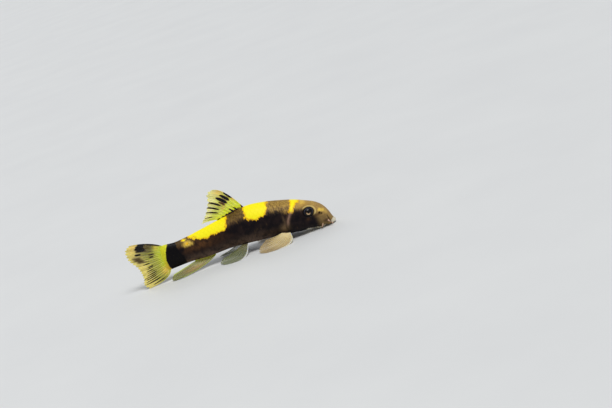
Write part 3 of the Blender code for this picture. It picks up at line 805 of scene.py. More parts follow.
def near_line(points, line, radius):
    """1 on a line of points, falling to 0 a few radii away."""
    away = np.full(len(points), 1e9)
    for spot in line:
        away = np.minimum(away, np.linalg.norm(points - spot, axis=1))
    return 1 - ease((away - radius) / (0.5 * radius))


eye_rim = np.zeros(len(points))
barbels = np.zeros(len(points))
for side in (-1, 1):
    radius, forward, upward = from_eye(points, side)
    crescent = 0.95 * bell(radius, ORBIT_RING, 0.22) * ease((0.9 * forward + upward + 0.8) / 2.2)
    eye_rim += crescent * (points[:, 1] * side > 0)
    for strength, (root, bend, tip, radius) in zip(BARBEL_PALE, BARBELS):
        outer = barbel_line(root, bend, tip, side)[4:]
        barbels = np.maximum(barbels, strength * near_line(points, outer, 1.25 * radius))
write_mask(flesh, "eye_rim", eye_rim)
write_mask(flesh, "barbels", barbels)
ahead = gill_edge(angle) - behind
margin = 1.1 * bell(ahead, 0.25, 0.62) * ease((height - 4.6) / 2) * ease((10.5 - height) / 2)
write_mask(flesh, "gill_margin", margin)
on_lip = near_line(points, lip_line()[0], LIP_RADIUS + 0.06) * ease((1.9 - behind) / 0.5)
on_lobe = ease((1.1 - behind) / 0.4) * ease((2.3 - height) / 0.5)
throat_edge = 150 - 22 * bell(behind, 9.6, 1.4)
on_throat = 0.8 * ease((angle - throat_edge) / 15) * (1 - ease((behind - 9) / 6))
write_mask(flesh, "pale", np.maximum.reduce([on_lip, on_lobe, on_throat]))
print("pale lip and throat:", int((on_lip > 0.5).sum()), "and", int((on_throat > 0.5).sum()), "points")

# %% [markdown]
# ### Hollows
# A real slit or nostril is dark, because light hardly gets out of it. At this size the relief alone
# is too shallow for that, so the same places, with the mouth and the sucker's ring, get painted shade.

# %% Hollows
# Painted shade for the gill slits, the lobe's groove, the mouth, the sucker's ring and the nostrils.
slit = 0.65 * bell(ahead, -0.25, 0.2) * (1 - ease((angle - 150) / 15)) * ease((9.6 - height) / 1.4)
groove = 0.9 * bell(behind, lobe_line(height), 0.2) * ease((4.4 - height) / 0.8) * (height > 0.8)
mouth = 0.8 * bell(behind, mouth_slit(across), 0.2) * (height < 0.9)
ring = 0.35 * bell(disc_place(behind, across), DISC_RING, 0.1) * (height < 0.5)
hollows = [slit, groove, mouth, ring]
for at, level, radius in NOSTRILS:
    hollows.append(bell(np.hypot(behind - at, height - level), 0, radius + 0.02, power=4))
write_mask(flesh, "deep", np.maximum.reduce(hollows))
print("masks:", [layer.name for layer in flesh.attributes if layer.data_type == "FLOAT"])

# %% [markdown]
# ## The skin's finish
# Moist fish skin is darker than it looks, with a soft shine and no hard gloss. The material starts
# with the black-brown of the flanks and lays the other colours over it by their masks, as a painter
# glazes one coat over another. Noise frays every border, so that none is a clean line.

# %% Skin material
def make_skin_material():
    material, tree, shader = new_material("garra_skin", Specular_IOR_Level=0.09, Coat_Weight=0.02,
                                          Coat_Roughness=0.3)
    cloud = noise(tree, 0.5, detail=3.0)
    grain = noise(tree, 3.2, detail=3.0, roughness=0.6)
    streaky = noise(tree, 1.3, detail=3.0, stretch=(1.5, 1, 0.35))
    lines = noise(tree, 2.6, detail=2.0, stretch=(1.3, 0.6, 0.22))

    def frayed(name, fine, coarse):
        """A region's depth mask with noise added, so that its border is torn along the scales."""
        torn = sums(tree, "MULTIPLY_ADD", sums(tree, "SUBTRACT", grain, 0.5), fine, mask(tree, name))
        return sums(tree, "MULTIPLY_ADD", sums(tree, "SUBTRACT", streaky, 0.5), coarse, torn)

    def mottled(pattern, low, high, dark, light):
        """Two colours that a noise pattern mixes."""
        return mix(tree, step(tree, pattern, low, high), dark, light)

    def glaze(under, name, pattern, low, high, over):
        """Lays a colour over another by a mask that a noise pattern breaks up."""
        share = sums(tree, "CLAMP_MULTIPLY", mask(tree, name), step(tree, pattern, low, high))
        return mix(tree, share, under, over)

    def weak(share, strength):
        """A share made weaker."""
        return sums(tree, "CLAMP_MULTIPLY", share, strength)

    colour = mottled(cloud, 0.38, 0.68, tint(13, 8, 13), tint(30, 20, 20))
    colour = glaze(colour, "warm_flank", cloud, 0.2, 0.6, tint(82, 53, 29))
    colour = glaze(colour, "belly", cloud, 0.15, 0.6, tint(98, 78, 64))
    olive = mottled(streaky, 0.3, 0.6, tint(146, 113, 54), tint(180, 145, 72))
    dull = mottled(streaky, 0.3, 0.6, tint(76, 56, 28), tint(118, 92, 46))
    olive = mix(tree, mask(tree, "dull_back"), olive, dull)
    olive = mix(tree, mask(tree, "rear_back"), olive, tint(74, 54, 26))
    olive = mix(tree, weak(step(tree, lines, 0.45, 0.62), 0.45), olive, tint(66, 47, 24))
    back = frayed("back", 0.35, 0.7)
    olive = mix(tree, weak(step(tree, back, 0.85, 0.3), 0.6), olive, tint(88, 62, 36))
    colour = mix(tree, step(tree, back, 0.05, 0.75), colour, olive)
    head_gold = mottled(grain, 0.3, 0.7, tint(170, 132, 65), tint(194, 155, 77))
    colour = mix(tree, mask(tree, "crown"), colour, head_gold)
    snout = mottled(grain, 0.3, 0.75, tint(148, 116, 65), tint(180, 146, 82))
    muzzle = mottled(grain, 0.3, 0.75, tint(114, 91, 55), tint(138, 112, 68))
    snout = mix(tree, mask(tree, "muzzle"), snout, muzzle)
    colour = mix(tree, mask(tree, "snout"), colour, snout)
    colour = mix(tree, weak(mask(tree, "smear"), 0.75), colour, tint(52, 30, 26))
    fleck = sums(tree, "MULTIPLY_ADD", lines, 0.7, sums(tree, "MULTIPLY_ADD", grain, 0.4, -0.35))
    gold = step(tree, sums(tree, "ADD", fleck, mask(tree, "gold")), 0.4, 1.2)
    colour = mix(tree, gold, colour, tint(224, 188, 84))
    colour = glaze(colour, "eye_rim", grain, 0.0, 0.55, tint(216, 190, 118))
    yellow = mottled(frayed("yellow", 0.9, 0.8), 0.0, 0.75, tint(236, 176, 22), tint(255, 240, 26))
    colour = mix(tree, step(tree, frayed("yellow", 0.9, 1.5), -0.12, 0.14), colour, yellow)
    root = mix(tree, mask(tree, "orange"), tint(222, 220, 48), tint(226, 186, 60))
    colour = mix(tree, step(tree, frayed("tail_root", 0.8, 0.3), -0.1, 0.2), colour, root)
    colour = mix(tree, step(tree, frayed("band", 0.8, 0.25), -0.12, 0.15), colour, tint(7, 5, 8))
    colour = mix(tree, weak(mask(tree, "scale_rim"), 0.4), colour, tint(26, 18, 12))
    colour = glaze(colour, "gill_margin", grain, 0.05, 0.6, tint(132, 102, 84))
    colour = glaze(colour, "shoulder", grain, 0.0, 0.6, tint(112, 90, 64))
    pale = mottled(grain, 0.35, 0.7, tint(192, 180, 154), tint(234, 228, 204))
    torn_pale = sums(tree, "MULTIPLY_ADD", sums(tree, "SUBTRACT", grain, 0.5), 0.9, mask(tree, "pale"))
    colour = mix(tree, step(tree, torn_pale, 0.15, 0.75), colour, pale)
    colour = mix(tree, mask(tree, "barbels"), colour, tint(208, 168, 144))
    # Painted shade in the hollows: slits, groove, mouth, sucker ring and nostrils.
    colour = mix(tree, weak(mask(tree, "deep"), 0.9), colour, tint(18, 12, 10))
    tree.links.new(colour, shader.inputs["Base Color"])
    tree.links.new(sums(tree, "MULTIPLY_ADD", grain, 0.2, 0.36), shader.inputs["Roughness"])
    raise_surface(tree, shader, noise(tree, 5.0, detail=2.0), 0.02, strength=0.5)
    return material


FLESH = ["head", "trunk", "rear_trunk", "tail_stalk", "rostral_barbel_left", "rostral_barbel_right",
         "maxillary_barbel_left", "maxillary_barbel_right"]
finish_piece(skin, "olive_skin", make_skin_material(), *FLESH)

# %% [markdown]
# ## Eyes
# Each eye is a flattened ball that looks out of its socket, with a slightly domed clear front. Seen
# from outside it is an oval, longer than tall. It is turned from the ball that bmesh makes: the
# ball's pole looks outward and its long axis lies along the head. The pupil is small and black, with
# a cream-gold ring that is brightest below and fades into painted shadow at its top. The rest is a
# glossy black disc with a thin bluish ring of painted reflection near the rim, stronger at the top.

# %% Eyes
PUPIL_FORWARD, PUPIL_UP = -0.2, -0.27  # the pupil sits a little low and far back in the eye
OUT_OF_RINGS = 3  # added to the distances on the ball's back, so that no ring shows there


def make_eye(side, name):
    """One eyeball in its socket, with its rings stored as distances."""
    front, outward, forward, up = eye_frame(side)
    centre = front + outward * (EYE_BULGE - EYE_DEPTH_RADIUS)
    ball = bmesh.new()
    bmesh.ops.create_uvsphere(ball, u_segments=64, v_segments=48, radius=1)
    for vert in ball.verts:
        dome = 0.06 * math.exp(-(math.hypot(vert.co.x, vert.co.y) / 0.5) ** 4) * (vert.co.z > 0)
        vert.co.z = vert.co.z * (1 + dome)
    radii = (EYE_RADIUS * EYE_STRETCH, EYE_RADIUS, EYE_DEPTH_RADIUS)
    bmesh.ops.scale(ball, vec=radii, verts=ball.verts)
    turn = Matrix((forward, np.cross(outward, forward), outward)).transposed()
    bmesh.ops.rotate(ball, matrix=turn, verts=ball.verts)
    bmesh.ops.translate(ball, vec=centre, verts=ball.verts)
    eye = mesh_object(name, ball)
    points = read_points(eye.data) - centre
    flat = points - (points @ outward)[:, None] * outward
    hidden = OUT_OF_RINGS * (points @ outward < 0)
    write_mask(eye.data, "from_axis", oval_radius(flat, forward) + hidden)
    from_pupil = flat - PUPIL_FORWARD * forward - PUPIL_UP * up
    write_mask(eye.data, "from_pupil", np.linalg.norm(from_pupil, axis=1) + hidden)
    write_mask(eye.data, "upward", from_pupil @ (0.94 * up + 0.33 * forward))
    return eye


def make_eye_material():
    """Black, a gold pupil ring with painted shadow at its top, and a thin painted reflection near the rim.
    """
    material, tree, shader = new_material("garra_eye", Roughness=0.35, Specular_IOR_Level=0.08,
                                          Coat_Weight=0.22, Coat_Roughness=0.14)
    uneven = sums(tree, "SUBTRACT", noise(tree, 2.0), 0.5)
    radius = sums(tree, "MULTIPLY_ADD", uneven, 0.1, mask(tree, "from_pupil"))
    upward = mask(tree, "upward")
    gold = sums(tree, "MULTIPLY", step(tree, radius, 0.38, 0.5), step(tree, radius, 0.9, 0.76))
    # Painted shadow: the gold ring fades out towards its top, and its colour is darker above and lighter
    # below.
    gold = sums(tree, "MULTIPLY", gold, step(tree, upward, 0.3, -0.3))
    bright = mix(tree, step(tree, upward, 0.1, -0.7), tint(84, 48, 26), tint(216, 182, 134))
    colour = mix(tree, gold, tint(9, 6, 8), bright)
    radius = sums(tree, "MULTIPLY_ADD", uneven, 0.14, mask(tree, "from_axis"))
    # Painted reflection: a thin bluish ring near the rim, stronger towards the top, as of the pale sky
    # mirrored in the glossy eye.
    rim_reflection = sums(tree, "MULTIPLY", step(tree, radius, 1.05, 1.2), step(tree, radius, 1.45, 1.28))
    rim_reflection = sums(tree, "MULTIPLY", rim_reflection, step(tree, upward, -1.2, 1.4))
    colour = mix(tree, rim_reflection, colour, tint(54, 52, 66))
    tree.links.new(colour, shader.inputs["Base Color"])
    return material


eye_material = make_eye_material()
for side, word in ((1, "left"), (-1, "right")):
    eye = make_eye(side, "eyeball_" + word)
    finish_piece(eye, "eye", eye_material, "eye_" + word)

# %% [markdown]
# ## How a fin is built
# A fin is a thin skin held open by bony rays, most of which split in two and again in two towards the
# edge. It could be drawn as a plane with a picture on it, but then it would have no edge or depth.
# Here a flat grid is doubled and its rims are bridged into a closed sheet, and every point is then set
# by two numbers: which ray it is near and how far out it is. The sheet is thick on a ray and thin
# between, and its edge is notched between the tips of the rays.

# %% Fin sheet
SUNK = 0.06  # share of the fin's rows that are hidden in the body
SINK_DEPTH = 0.9
FIRST_SPREAD, SECOND_SPREAD = 0.23, 0.11  # how far the branches part at each fork, in rays
FORK_GAP = 0.26  # way out from the first fork to the second


def fin_sheet(name, rays, rows, per_gap):
    """A closed double sheet with the place of each point stored as ray number, way out and side."""
    sheet = bmesh.new()
    ray = sheet.verts.layers.float.new("ray")
    out = sheet.verts.layers.float.new("out")
    side = sheet.verts.layers.float.new("side")
    bmesh.ops.create_grid(sheet, x_segments=per_gap * (rays - 1), y_segments=rows, size=0.5)
    for vert in sheet.verts:
        vert[ray] = (vert.co.x + 0.5) * (rays - 1)
        vert[out] = (vert.co.y + 0.5) * (1 + SUNK) - SUNK
        vert[side] = 1.0
    twin = bmesh.ops.duplicate(sheet, geom=sheet.verts[:] + sheet.edges[:] + sheet.faces[:])["geom"]
    for item in twin:
        if isinstance(item, bmesh.types.BMVert):
            item[side] = -1.0
            item.co.z = -0.01
    bmesh.ops.reverse_faces(sheet, faces=[item for item in twin if isinstance(item, bmesh.types.BMFace)])
    bmesh.ops.bridge_loops(sheet, edges=[edge for edge in sheet.edges if edge.is_boundary])
    return mesh_object(name, sheet)


def fin_middle(keys, rays, ray, out):
    """Points of a fin's middle. Keys are (share across, root, bend, tip, way into the body)."""
    shares = np.array([key[0] for key in keys], float)
    guides = np.array([key[1:] for key in keys], float)
    root, bend, tip, inward = np.moveaxis(flow(ray / (rays - 1), shares, guides), 1, 0)
    way = np.clip(out, 0, None)[:, None]
    line = (1 - way) ** 2 * root + 2 * way * (1 - way) * bend + way ** 2 * tip
    return line + unit(inward) * (np.clip(-out, 0, None) / SUNK * SINK_DEPTH)[:, None]


def ray_share(ray, out, spacing, split, simple, width):
    """1 on the middle of a ray or of one of its branches, 0 on the membrane between them."""
    nearest = np.round(ray)
    off = ray - nearest
    forks = np.where(nearest < simple, 0.0, 1.0)
    first = FIRST_SPREAD * ease((out - split) / 0.55) * forks
    second = SECOND_SPREAD * ease((out - split - FORK_GAP) / 0.45) * forks
    half = width * (1 - 0.35 * ease((out - split) / 0.4) * forks - 0.25 * ease((out - 0.3) / 0.7))
    half = np.where(nearest < simple, half * 1.25, half)
    away = np.full(len(ray), 1e9)
    for one in (-1, 1):
        for two in (-1, 1):
            away = np.minimum(away, np.abs(off - one * first - two * second))
    return bell(away * spacing, 0, half)


def make_fin(name, keys, rays, rows, per_gap, membrane, ray_height, width=0.17, split=0.42, simple=1,
             notch=0.05, ripple=0.1, flat=False, fleshy=0.14):
    """A finished fin mesh in millimetres with its ray number, way out and ray share stored on it."""
    fin = fin_sheet(name, rays, rows, per_gap)
    mesh = fin.data
    ray, out, side = (read_mask(mesh, layer) for layer in ("ray", "out", "side"))
    between = np.abs(ray - np.round(ray)) * 2
    reach = out * (1 - notch * between ** 1.5 * np.clip(out, 0, 1) ** 3)

    def middle(ray, out):
        return fin_middle(keys, rays, ray, out)

    crosswise = middle(ray + 0.02, reach) - middle(ray - 0.02, reach)
    normal = unit(np.cross(crosswise, middle(ray, reach + 0.01) - middle(ray, reach - 0.01)))
    spacing = np.linalg.norm(crosswise, axis=1) / 0.04
    bare = ease(out / fleshy)
    on_ray = ray_share(ray, out, spacing, split, simple, width) * bare
    raised = (on_ray + 0.6 * (1 - bare)) * (1 - 0.45 * np.clip(out, 0, 1))
    thickness = membrane + (ray_height - membrane) * raised
    thickness *= 1 - 0.4 * ease((out - 0.85) / 0.15)
    wave = ripple * np.sin(np.pi * ray) * np.clip(out, 0, 1)
    points = middle(ray, reach) + normal * (side * thickness / 2 + wave)[:, None]
    if flat:
        points[:, 2] = np.maximum(points[:, 2], 0.02 + 0.06 * (side * np.sign(normal[:, 2]) > 0))
    points[:, 2] = np.maximum(points[:, 2], 0.01)
    write_points(mesh, points)
    write_mask(mesh, "on_ray", on_ray)
    shape = bmesh.new()
    shape.from_mesh(mesh)
    bmesh.ops.recalc_face_normals(shape, faces=shape.faces)
    shape.to_mesh(mesh)
    shape.free()
    return fin, ray, out


def streaks(ray, out, marks):
    """Dark drops between the rays that taper outward: (ray number, start, end, half width, darkness)."""
    dark = np.zeros(len(ray))
    for number, start, end, half, depth in marks:
        way = np.clip((out - start) / (end - start), 0, 1)
        width = half * np.sqrt(ease(way / 0.35)) * (1 - way ** 3) ** 0.7 + 0.03
        across = 1 - ease((np.abs(ray - number) / width - 0.35) / 1.1)
        lengthwise = ease(way / 0.3) * ease((1 - way) / 0.2)
        dark = np.maximum(dark, depth * across * lengthwise)
    return dark


def blotches(ray, out, spots):
    """Soft oval spots: (ray number, way out, half breadth in rays, half length, darkness)."""
    dark = np.zeros(len(ray))
    for number, way, breadth, length, depth in spots:
        spot = bell(ray, number, breadth, power=4) * bell(out, way, length, power=4)
        dark = np.maximum(dark, depth * spot)
    return dark


def warmth(ray, out, spots):
    """The sum of soft warm spots: (ray number, way out, half breadth, half length, strength)."""
    return sum(strength * bell(ray, number, breadth) * bell(out, way, length)
               for number, way, breadth, length, strength in spots)


def mark_fin(fin, **shares):
    """Writes a fin's masks. A kind of pigment that the fin hasn't got is 0 all over it."""
    for name in ("dark", "dusk", "warm", "edge"):
        write_mask(fin.data, name, shares.get(name, np.zeros(len(fin.data.vertices))))


print("a fin sheet of 4 rays has", len(fin_sheet("trial", 4, 10, 6).data.polygons), "faces")
bpy.data.objects.remove(bpy.data.objects["trial"])

# %% [markdown]
# ## The fins' finish
# Fin skin is clear where it is thin and takes its colour from the pigment in it. The material reads
# five masks: how much of a ray there is, how far out a point is, and where black pigment, soft brown
# dusk and a warm tint lie. Paired and anal fins add a coloured edge. The rays are milky, so they hide
# more of what is behind them than the skin between, and fine cross ridges show that each ray is built
# of short joints. A little light passes through.

# %% Fin material
PIGMENT_COVER = 0.92  # how much of what lies behind a fin its pigment hides
RAY_JOINTS = 130.0  # the higher, the shorter the joints of the rays


def make_fin_material(name, root, middle, tip, ray_colour, clear, brown_tint, glow=0.35):
    """Colours from root to tip, with the rays, the pigment and the clearness laid over them."""
    material, tree, shader = new_material(name, Roughness=0.4, Specular_IOR_Level=0.2,
                                          Subsurface_Weight=glow, Subsurface_Scale=0.5 * MM)
    shader.inputs["Subsurface Radius"].default_value = (1.0, 0.9, 0.5)
    grain = noise(tree, 1.6, detail=3.0)
    uneven = sums(tree, "SUBTRACT", grain, 0.5)
    outward = sums(tree, "MULTIPLY_ADD", uneven, 0.3, mask(tree, "out"))
    colour = mix(tree, step(tree, outward, 0.1, 0.45), root, middle)
    colour = mix(tree, step(tree, outward, 0.5, 0.85), colour, tip)
    colour = mix(tree, sums(tree, "MULTIPLY", mask(tree, "on_ray"), 0.5), colour, ray_colour)
    colour = mix(tree, mask(tree, "warm"), colour, tint(255, 196, 98))
    dusk = sums(tree, "CLAMP_MULTIPLY", mask(tree, "dusk"), step(tree, grain, -0.15, 0.35))
    colour = mix(tree, dusk, colour, brown_tint)
    torn = sums(tree, "SUBTRACT", noise(tree, 2.0, detail=3.0), 0.5)
    dark = sums(tree, "MULTIPLY_ADD", torn, 0.5, mask(tree, "dark"))
    brown = step(tree, dark, 0.1, 0.55)
    black = step(tree, dark, 0.45, 0.8)
    colour = mix(tree, brown, colour, brown_tint)
    colour = mix(tree, black, colour, tint(9, 6, 6))
    tree.links.new(colour, shader.inputs["Base Color"])
    solid = sums(tree, "CLAMP_MULTIPLY_ADD", mask(tree, "on_ray"), 0.4, 1 - clear)
    solid = sums(tree, "CLAMP_MAXIMUM", solid, sums(tree, "MULTIPLY", brown, PIGMENT_COVER))
    solid = sums(tree, "CLAMP_MAXIMUM", solid, sums(tree, "MULTIPLY", dusk, PIGMENT_COVER))
    near_root = step(tree, mask(tree, "out"), 0.4, 0.0)
    solid = sums(tree, "CLAMP_MAXIMUM", solid, sums(tree, "MULTIPLY", near_root, 0.9))
    tree.links.new(solid, shader.inputs["Alpha"])
    joints = sums(tree, "SINE", sums(tree, "MULTIPLY", mask(tree, "out"), RAY_JOINTS))
    raise_surface(tree, shader, sums(tree, "MULTIPLY", joints, mask(tree, "on_ray")), 0.02, strength=0.5)
    return material


# %% [markdown]
# ### A coloured edge
# On the paired fins the first ray is thick and pale, and the anal fin has a bright edge. One more
# colour is laid over the finished material, so the other fins do without it.

# %% A coloured edge
def lay_over(material, colour, share):
    """Lays a colour over a fin's edge rays, after its other colours."""
    tree = material.node_tree
    shader = tree.nodes["Principled BSDF"]
    under = shader.inputs["Base Color"].links[0].from_socket
    over = mix(tree, sums(tree, "MULTIPLY", mask(tree, "edge"), share), under, colour)
    tree.links.new(over, shader.inputs["Base Color"])
    return material


# %% [markdown]
# ## Dorsal fin
# The dorsal fin stands as a fan on the back, with a simple first ray and nine branched ones. Black
# pigment lies in streaks between the rays, in a slanting band near the top and again along the base,
# over a yellow-green root. The tip is clear cream. The places of the streaks are given by ray number
# and way out, so they follow the rays by themselves.

# %% Make the dorsal fin
DORSAL_START, DORSAL_END = 29.0, 39.1
DORSAL_RAYS = 10
FIN_GAP = 0.3
DORSAL_GUIDES = [(0, (33.7, 25.0), (37.3, 25.2)), (0.12, (34.6, 23.4), (39.0, 24.9)),
                 (0.4, (36.6, 19.8), (40.2, 21.5)), (0.7, (39.0, 17.2), (42.2, 17.9)),
                 (1, (41.7, 15.4), (44.6, 15.1))]
DORSAL_MARKS = [(0.1, 0.24, 0.56, 0.42, 1), (1.12, 0.24, 0.62, 0.42, 1), (2.1, 0.24, 0.72, 0.48, 1),
                (2.85, 0.26, 0.6, 0.28, 0.6), (3.55, 0.34, 1.1, 0.23, 1), (4.75, 0.32, 1.1, 0.22, 1),
                (5.9, 0.28, 1.05, 0.2, 1), (7.45, 0.4, 1.1, 0.17, 0.7), (0.1, -0.4, 0.08, 0.7, 1),
                (2.15, -0.4, 0.14, 0.42, 1), (3.35, -0.4, 0.21, 0.42, 1), (4.5, -0.4, 0.09, 0.55, 1),
                (5.6, -0.4, 0.09, 0.55, 1), (6.8, -0.4, 0.09, 0.55, 1), (8.3, -0.4, 0.12, 0.55, 1)]
DORSAL_DUSK = [(3.6, 0.5, 0.6, 0.18, 0.25)]
DORSAL_WARM = [(0.1, 0.25, 0.6, 0.06, 0.7), (0.3, 0.7, 1.2, 0.17, 0.65), (3.8, 0.33, 0.9, 0.05, 0.5)]


def dorsal_keys():
    """The fin's guides from front to back, as fin_middle reads them."""
    keys = []
    for share, bend, tip in DORSAL_GUIDES:
        behind = DORSAL_START + share * (DORSAL_END - DORSAL_START)
        root = place(behind, 0, along(BACK, behind) + FIN_GAP)
        lean_bend, lean_tip = place(bend[0], -0.3, bend[1]), place(tip[0], -0.9, tip[1])
        keys.append((share, root, lean_bend, lean_tip, (0, 0, -1)))
    return keys


dorsal, ray, out = make_fin("dorsal_fin_skin", dorsal_keys(), DORSAL_RAYS, rows=84, per_gap=14,
                            membrane=0.13, ray_height=0.42, notch=0.07)
dark_base = (0.3 + 0.45 * bell(ray, 4, 2)) * (1 - ease(out / 0.05))
mark_fin(dorsal, dark=np.maximum(streaks(ray, out, DORSAL_MARKS), dark_base),
         dusk=blotches(ray, out, DORSAL_DUSK), warm=warmth(ray, out, DORSAL_WARM))
dorsal_skin = make_fin_material(
    "dorsal_fin_skin", tint(236, 248, 30), tint(216, 222, 80), tint(255, 246, 166), tint(250, 242, 140),
    clear=0.25, brown_tint=tint(104, 52, 28))
finish_piece(dorsal, "banded_fin", dorsal_skin, "dorsal_fin")

# %% [markdown]
# ## Tail fin
# The tail fin has nineteen main rays in two rounded lobes. Its base is yellow-green with a touch of
# orange below, the upper lobe has a black blotch and a soft brown one, and thin black streaks cross
# the lower lobe.

# %% Make the tail fin
TAIL_RAYS = 19
TAIL_GUIDES = [(0, (64.4, 16.0), (70.8, 16.8)), (0.1, (66.0, 14.8), (72.5, 15.7)),
               (0.25, (65.9, 11.6), (72.8, 12.7)), (0.5, (64.8, 7.9), (70.4, 8.0)),
               (0.75, (64.6, 4.4), (69.9, 3.9)), (0.9, (63.4, 2.0), (70.4, 1.7)),
               (1, (60.9, 0.4), (69.3, 0.0))]
TAIL_MARKS = [(7.3, 0.5, 0.8, 0.28, 0.45), (8.4, 0.55, 0.84, 0.25, 0.85), (9.9, 0.5, 0.74, 0.26, 0.9),
              (10.6, 0.5, 0.84, 0.17, 0.6), (11.4, 0.52, 0.88, 0.22, 0.9), (12.2, 0.46, 0.84, 0.17, 0.65),
              (13.0, 0.42, 0.92, 0.2, 0.9), (13.8, 0.42, 1.06, 0.18, 0.8), (14.6, 0.46, 0.98, 0.2, 0.9),
              (15.4, 0.42, 1.02, 0.2, 0.85), (16.3, 0.4, 1.0, 0.22, 0.9), (17.3, 0.36, 0.9, 0.2, 0.7)]
TAIL_SPOTS = [(1.1, 0.64, 1.7, 0.12, 1.05), (2.4, 0.6, 0.8, 0.14, 0.95), (0.2, 0.35, 0.7, 0.28, 0.7),
              (3.9, 0.71, 0.32, 0.08, 0.95), (4.65, 0.38, 0.32, 0.08, 0.75), (5.75, 0.42, 0.34, 0.06, 0.8)]
TAIL_DUSK = [(1.6, 0.44, 1.4, 0.17, 0.9), (3.1, 0.42, 0.7, 0.13, 0.8), (5.5, 0.79, 1.0, 0.13, 1),
             (6.6, 0.77, 0.8, 0.12, 1), (4.2, 0.52, 1.6, 0.26, 0.35)]
TAIL_WARM = [(15.6, 0.2, 2.2, 0.15, 0.6), (1.0, 0.85, 1.8, 0.1, 0.45), (1.5, 0.22, 1.5, 0.08, 0.35)]


def tail_keys():
    """The fin's guides from the upper edge to the lower one."""
    keys = []
    top, bottom = along(BACK, TAIL_FIN_BASE), along(BELLY, TAIL_FIN_BASE)
    for share, bend, tip in TAIL_GUIDES:
        root = place(TAIL_FIN_BASE + FIN_GAP, 0, top - 0.25 - share * (top - bottom - 0.5))
        keys.append((share, root, place(bend[0], 0, bend[1]), place(tip[0], 0, tip[1]), (1, 0, 0)))
    return keys


tail, ray, out = make_fin("tail_fin_skin", tail_keys(), TAIL_RAYS, rows=80, per_gap=10,
                          membrane=0.13, ray_height=0.42, notch=0.05, fleshy=0.36)
mark_fin(tail, dark=np.maximum(streaks(ray, out, TAIL_MARKS), blotches(ray, out, TAIL_SPOTS)),
         dusk=blotches(ray, out, TAIL_DUSK), warm=warmth(ray, out, TAIL_WARM))
tail_skin = make_fin_material("tail_fin_skin", tint(208, 220, 42), tint(158, 158, 54), tint(238, 216, 124),
                              tint(218, 210, 104), clear=0.25, brown_tint=tint(84, 66, 30))
finish_piece(tail, "banded_fin", tail_skin, "tail_fin")

# %% [markdown]
# ## Anal fin
# The anal fin lies folded back below the tail stalk, eight rays deep, and leans to the near side. Its
# skin is a clear olive tan with a yellow-green upper edge.

# %% Make the anal fin
ANAL_START, ANAL_END = 43.4, 51.0
ANAL_RAYS = 8
ANAL_GUIDES = [(0, (48.0, -1.9, 0.6), (56.6, -4.1, 0.3)), (0.3, (51.6, -2.0, 0.7), (59.7, -4.0, 0.3)),
               (0.65, (54.6, -1.4, 1.5), (60.5, -2.9, 0.9)), (1, (55.6, -0.7, 2.4), (59.6, -1.6, 1.9))]
ANAL_MARKS = [(3.4, 0.3, 0.6, 0.3, 0.3), (2.4, 0.35, 0.7, 0.3, 0.3)]
ANAL_WARM = [(2.5, 0.45, 1.6, 0.2, 0.3)]


def anal_keys():
    """The fin's guides from front to back."""
    keys = []
    for share, bend, tip in ANAL_GUIDES:
        behind = ANAL_START + share * (ANAL_END - ANAL_START)
        root = place(behind, 0, along(BELLY, behind) - FIN_GAP)
        keys.append((share, root, place(*bend), place(*tip), (0, 0, 1)))
    return keys


anal, ray, out = make_fin("anal_fin_skin", anal_keys(), ANAL_RAYS, rows=64, per_gap=12,
                          membrane=0.14, ray_height=0.4, ripple=0.06, flat=True)
mark_fin(anal, dark=streaks(ray, out, ANAL_MARKS), warm=warmth(ray, out, ANAL_WARM),
         edge=bell(ray, ANAL_RAYS - 1, 0.7) + 0.5 * bell(ray, 0, 0.5))
anal_fin = lay_over(make_fin_material(
    "anal_fin_skin", tint(184, 180, 56), tint(128, 116, 58), tint(112, 120, 60), tint(168, 158, 84),
    clear=0.5, brown_tint=tint(96, 70, 36)), tint(206, 226, 84), 0.85)
finish_piece(anal, "clear_fin", anal_fin, "anal_fin")

# %% [markdown]
# ## Pectoral and pelvic fins
# The paired fins spread beside the chest and the belly and lie on the floor, where the fish props
# itself on them. Their first ray is thick and creamy white. The rest is a clear beige on the pectoral
# fins and a clear olive on the pelvic ones. Both sides are made by one function, with the side as its
# only difference.

# %% Make the paired fins
FLOOR_PRESS = 0.15
PECTORAL = dict(rays=12, rows=64, per_gap=10, guides=[
    (0, (16.4, 128), (14.6, 10.8, -0.3), (21.6, 12.4, FLOOR_PRESS)),
    (0.3, (17.0, 128), (18.4, 10.9, -0.4), (26.2, 11.6, FLOOR_PRESS)),
    (0.6, (17.7, 127), (20.9, 8.9, 1.0), (28.6, 8.9, 0.5)),
    (0.85, (18.4, 126), (21.6, 7.2, 2.3), (27.5, 7.1, 2.1)),
    (1, (18.9, 125), (21.6, 6.6, 3.2), (25.0, 6.5, 3.4))])
PELVIC = dict(rays=9, rows=56, per_gap=10, guides=[
    (0, (31.4, 144), (32.4, 6.2, -0.3), (35.2, 9.3, FLOOR_PRESS)),
    (0.35, (32.0, 144), (34.6, 5.9, -0.3), (40.4, 8.4, FLOOR_PRESS)),
    (0.7, (32.7, 145), (36.8, 4.3, 1.1), (42.8, 5.4, 0.5)),
    (1, (33.4, 146), (37.5, 3.0, 1.9), (41.6, 3.2, 1.4))])


def paired_fin(name, side, plan, node, material):
    """One pectoral or pelvic fin. The side is 1 on the left and -1 on the right."""
    keys = []
    for share, (behind, angle), bend, tip in plan["guides"]:
        behind, angle = np.array(behind), np.array(float(side * angle))
        normal = skin_normal(behind, angle)
        root = skin_point(behind, angle) + FIN_GAP * normal
        bend, tip = (place(spot[0], side * spot[1], spot[2]) for spot in (bend, tip))
        keys.append((share, root, bend, tip, -normal))
    fin, ray, out = make_fin(name, keys, plan["rays"], plan["rows"], plan["per_gap"], membrane=0.14,
                             ray_height=0.4, width=0.15, ripple=0.05, flat=True)
    mark_fin(fin, dark=0.7 * (1 - ease(out / 0.07)), edge=bell(ray, 0, 0.6, power=4) * ease(out / 0.1))
    return finish_piece(fin, "clear_fin", material, node)


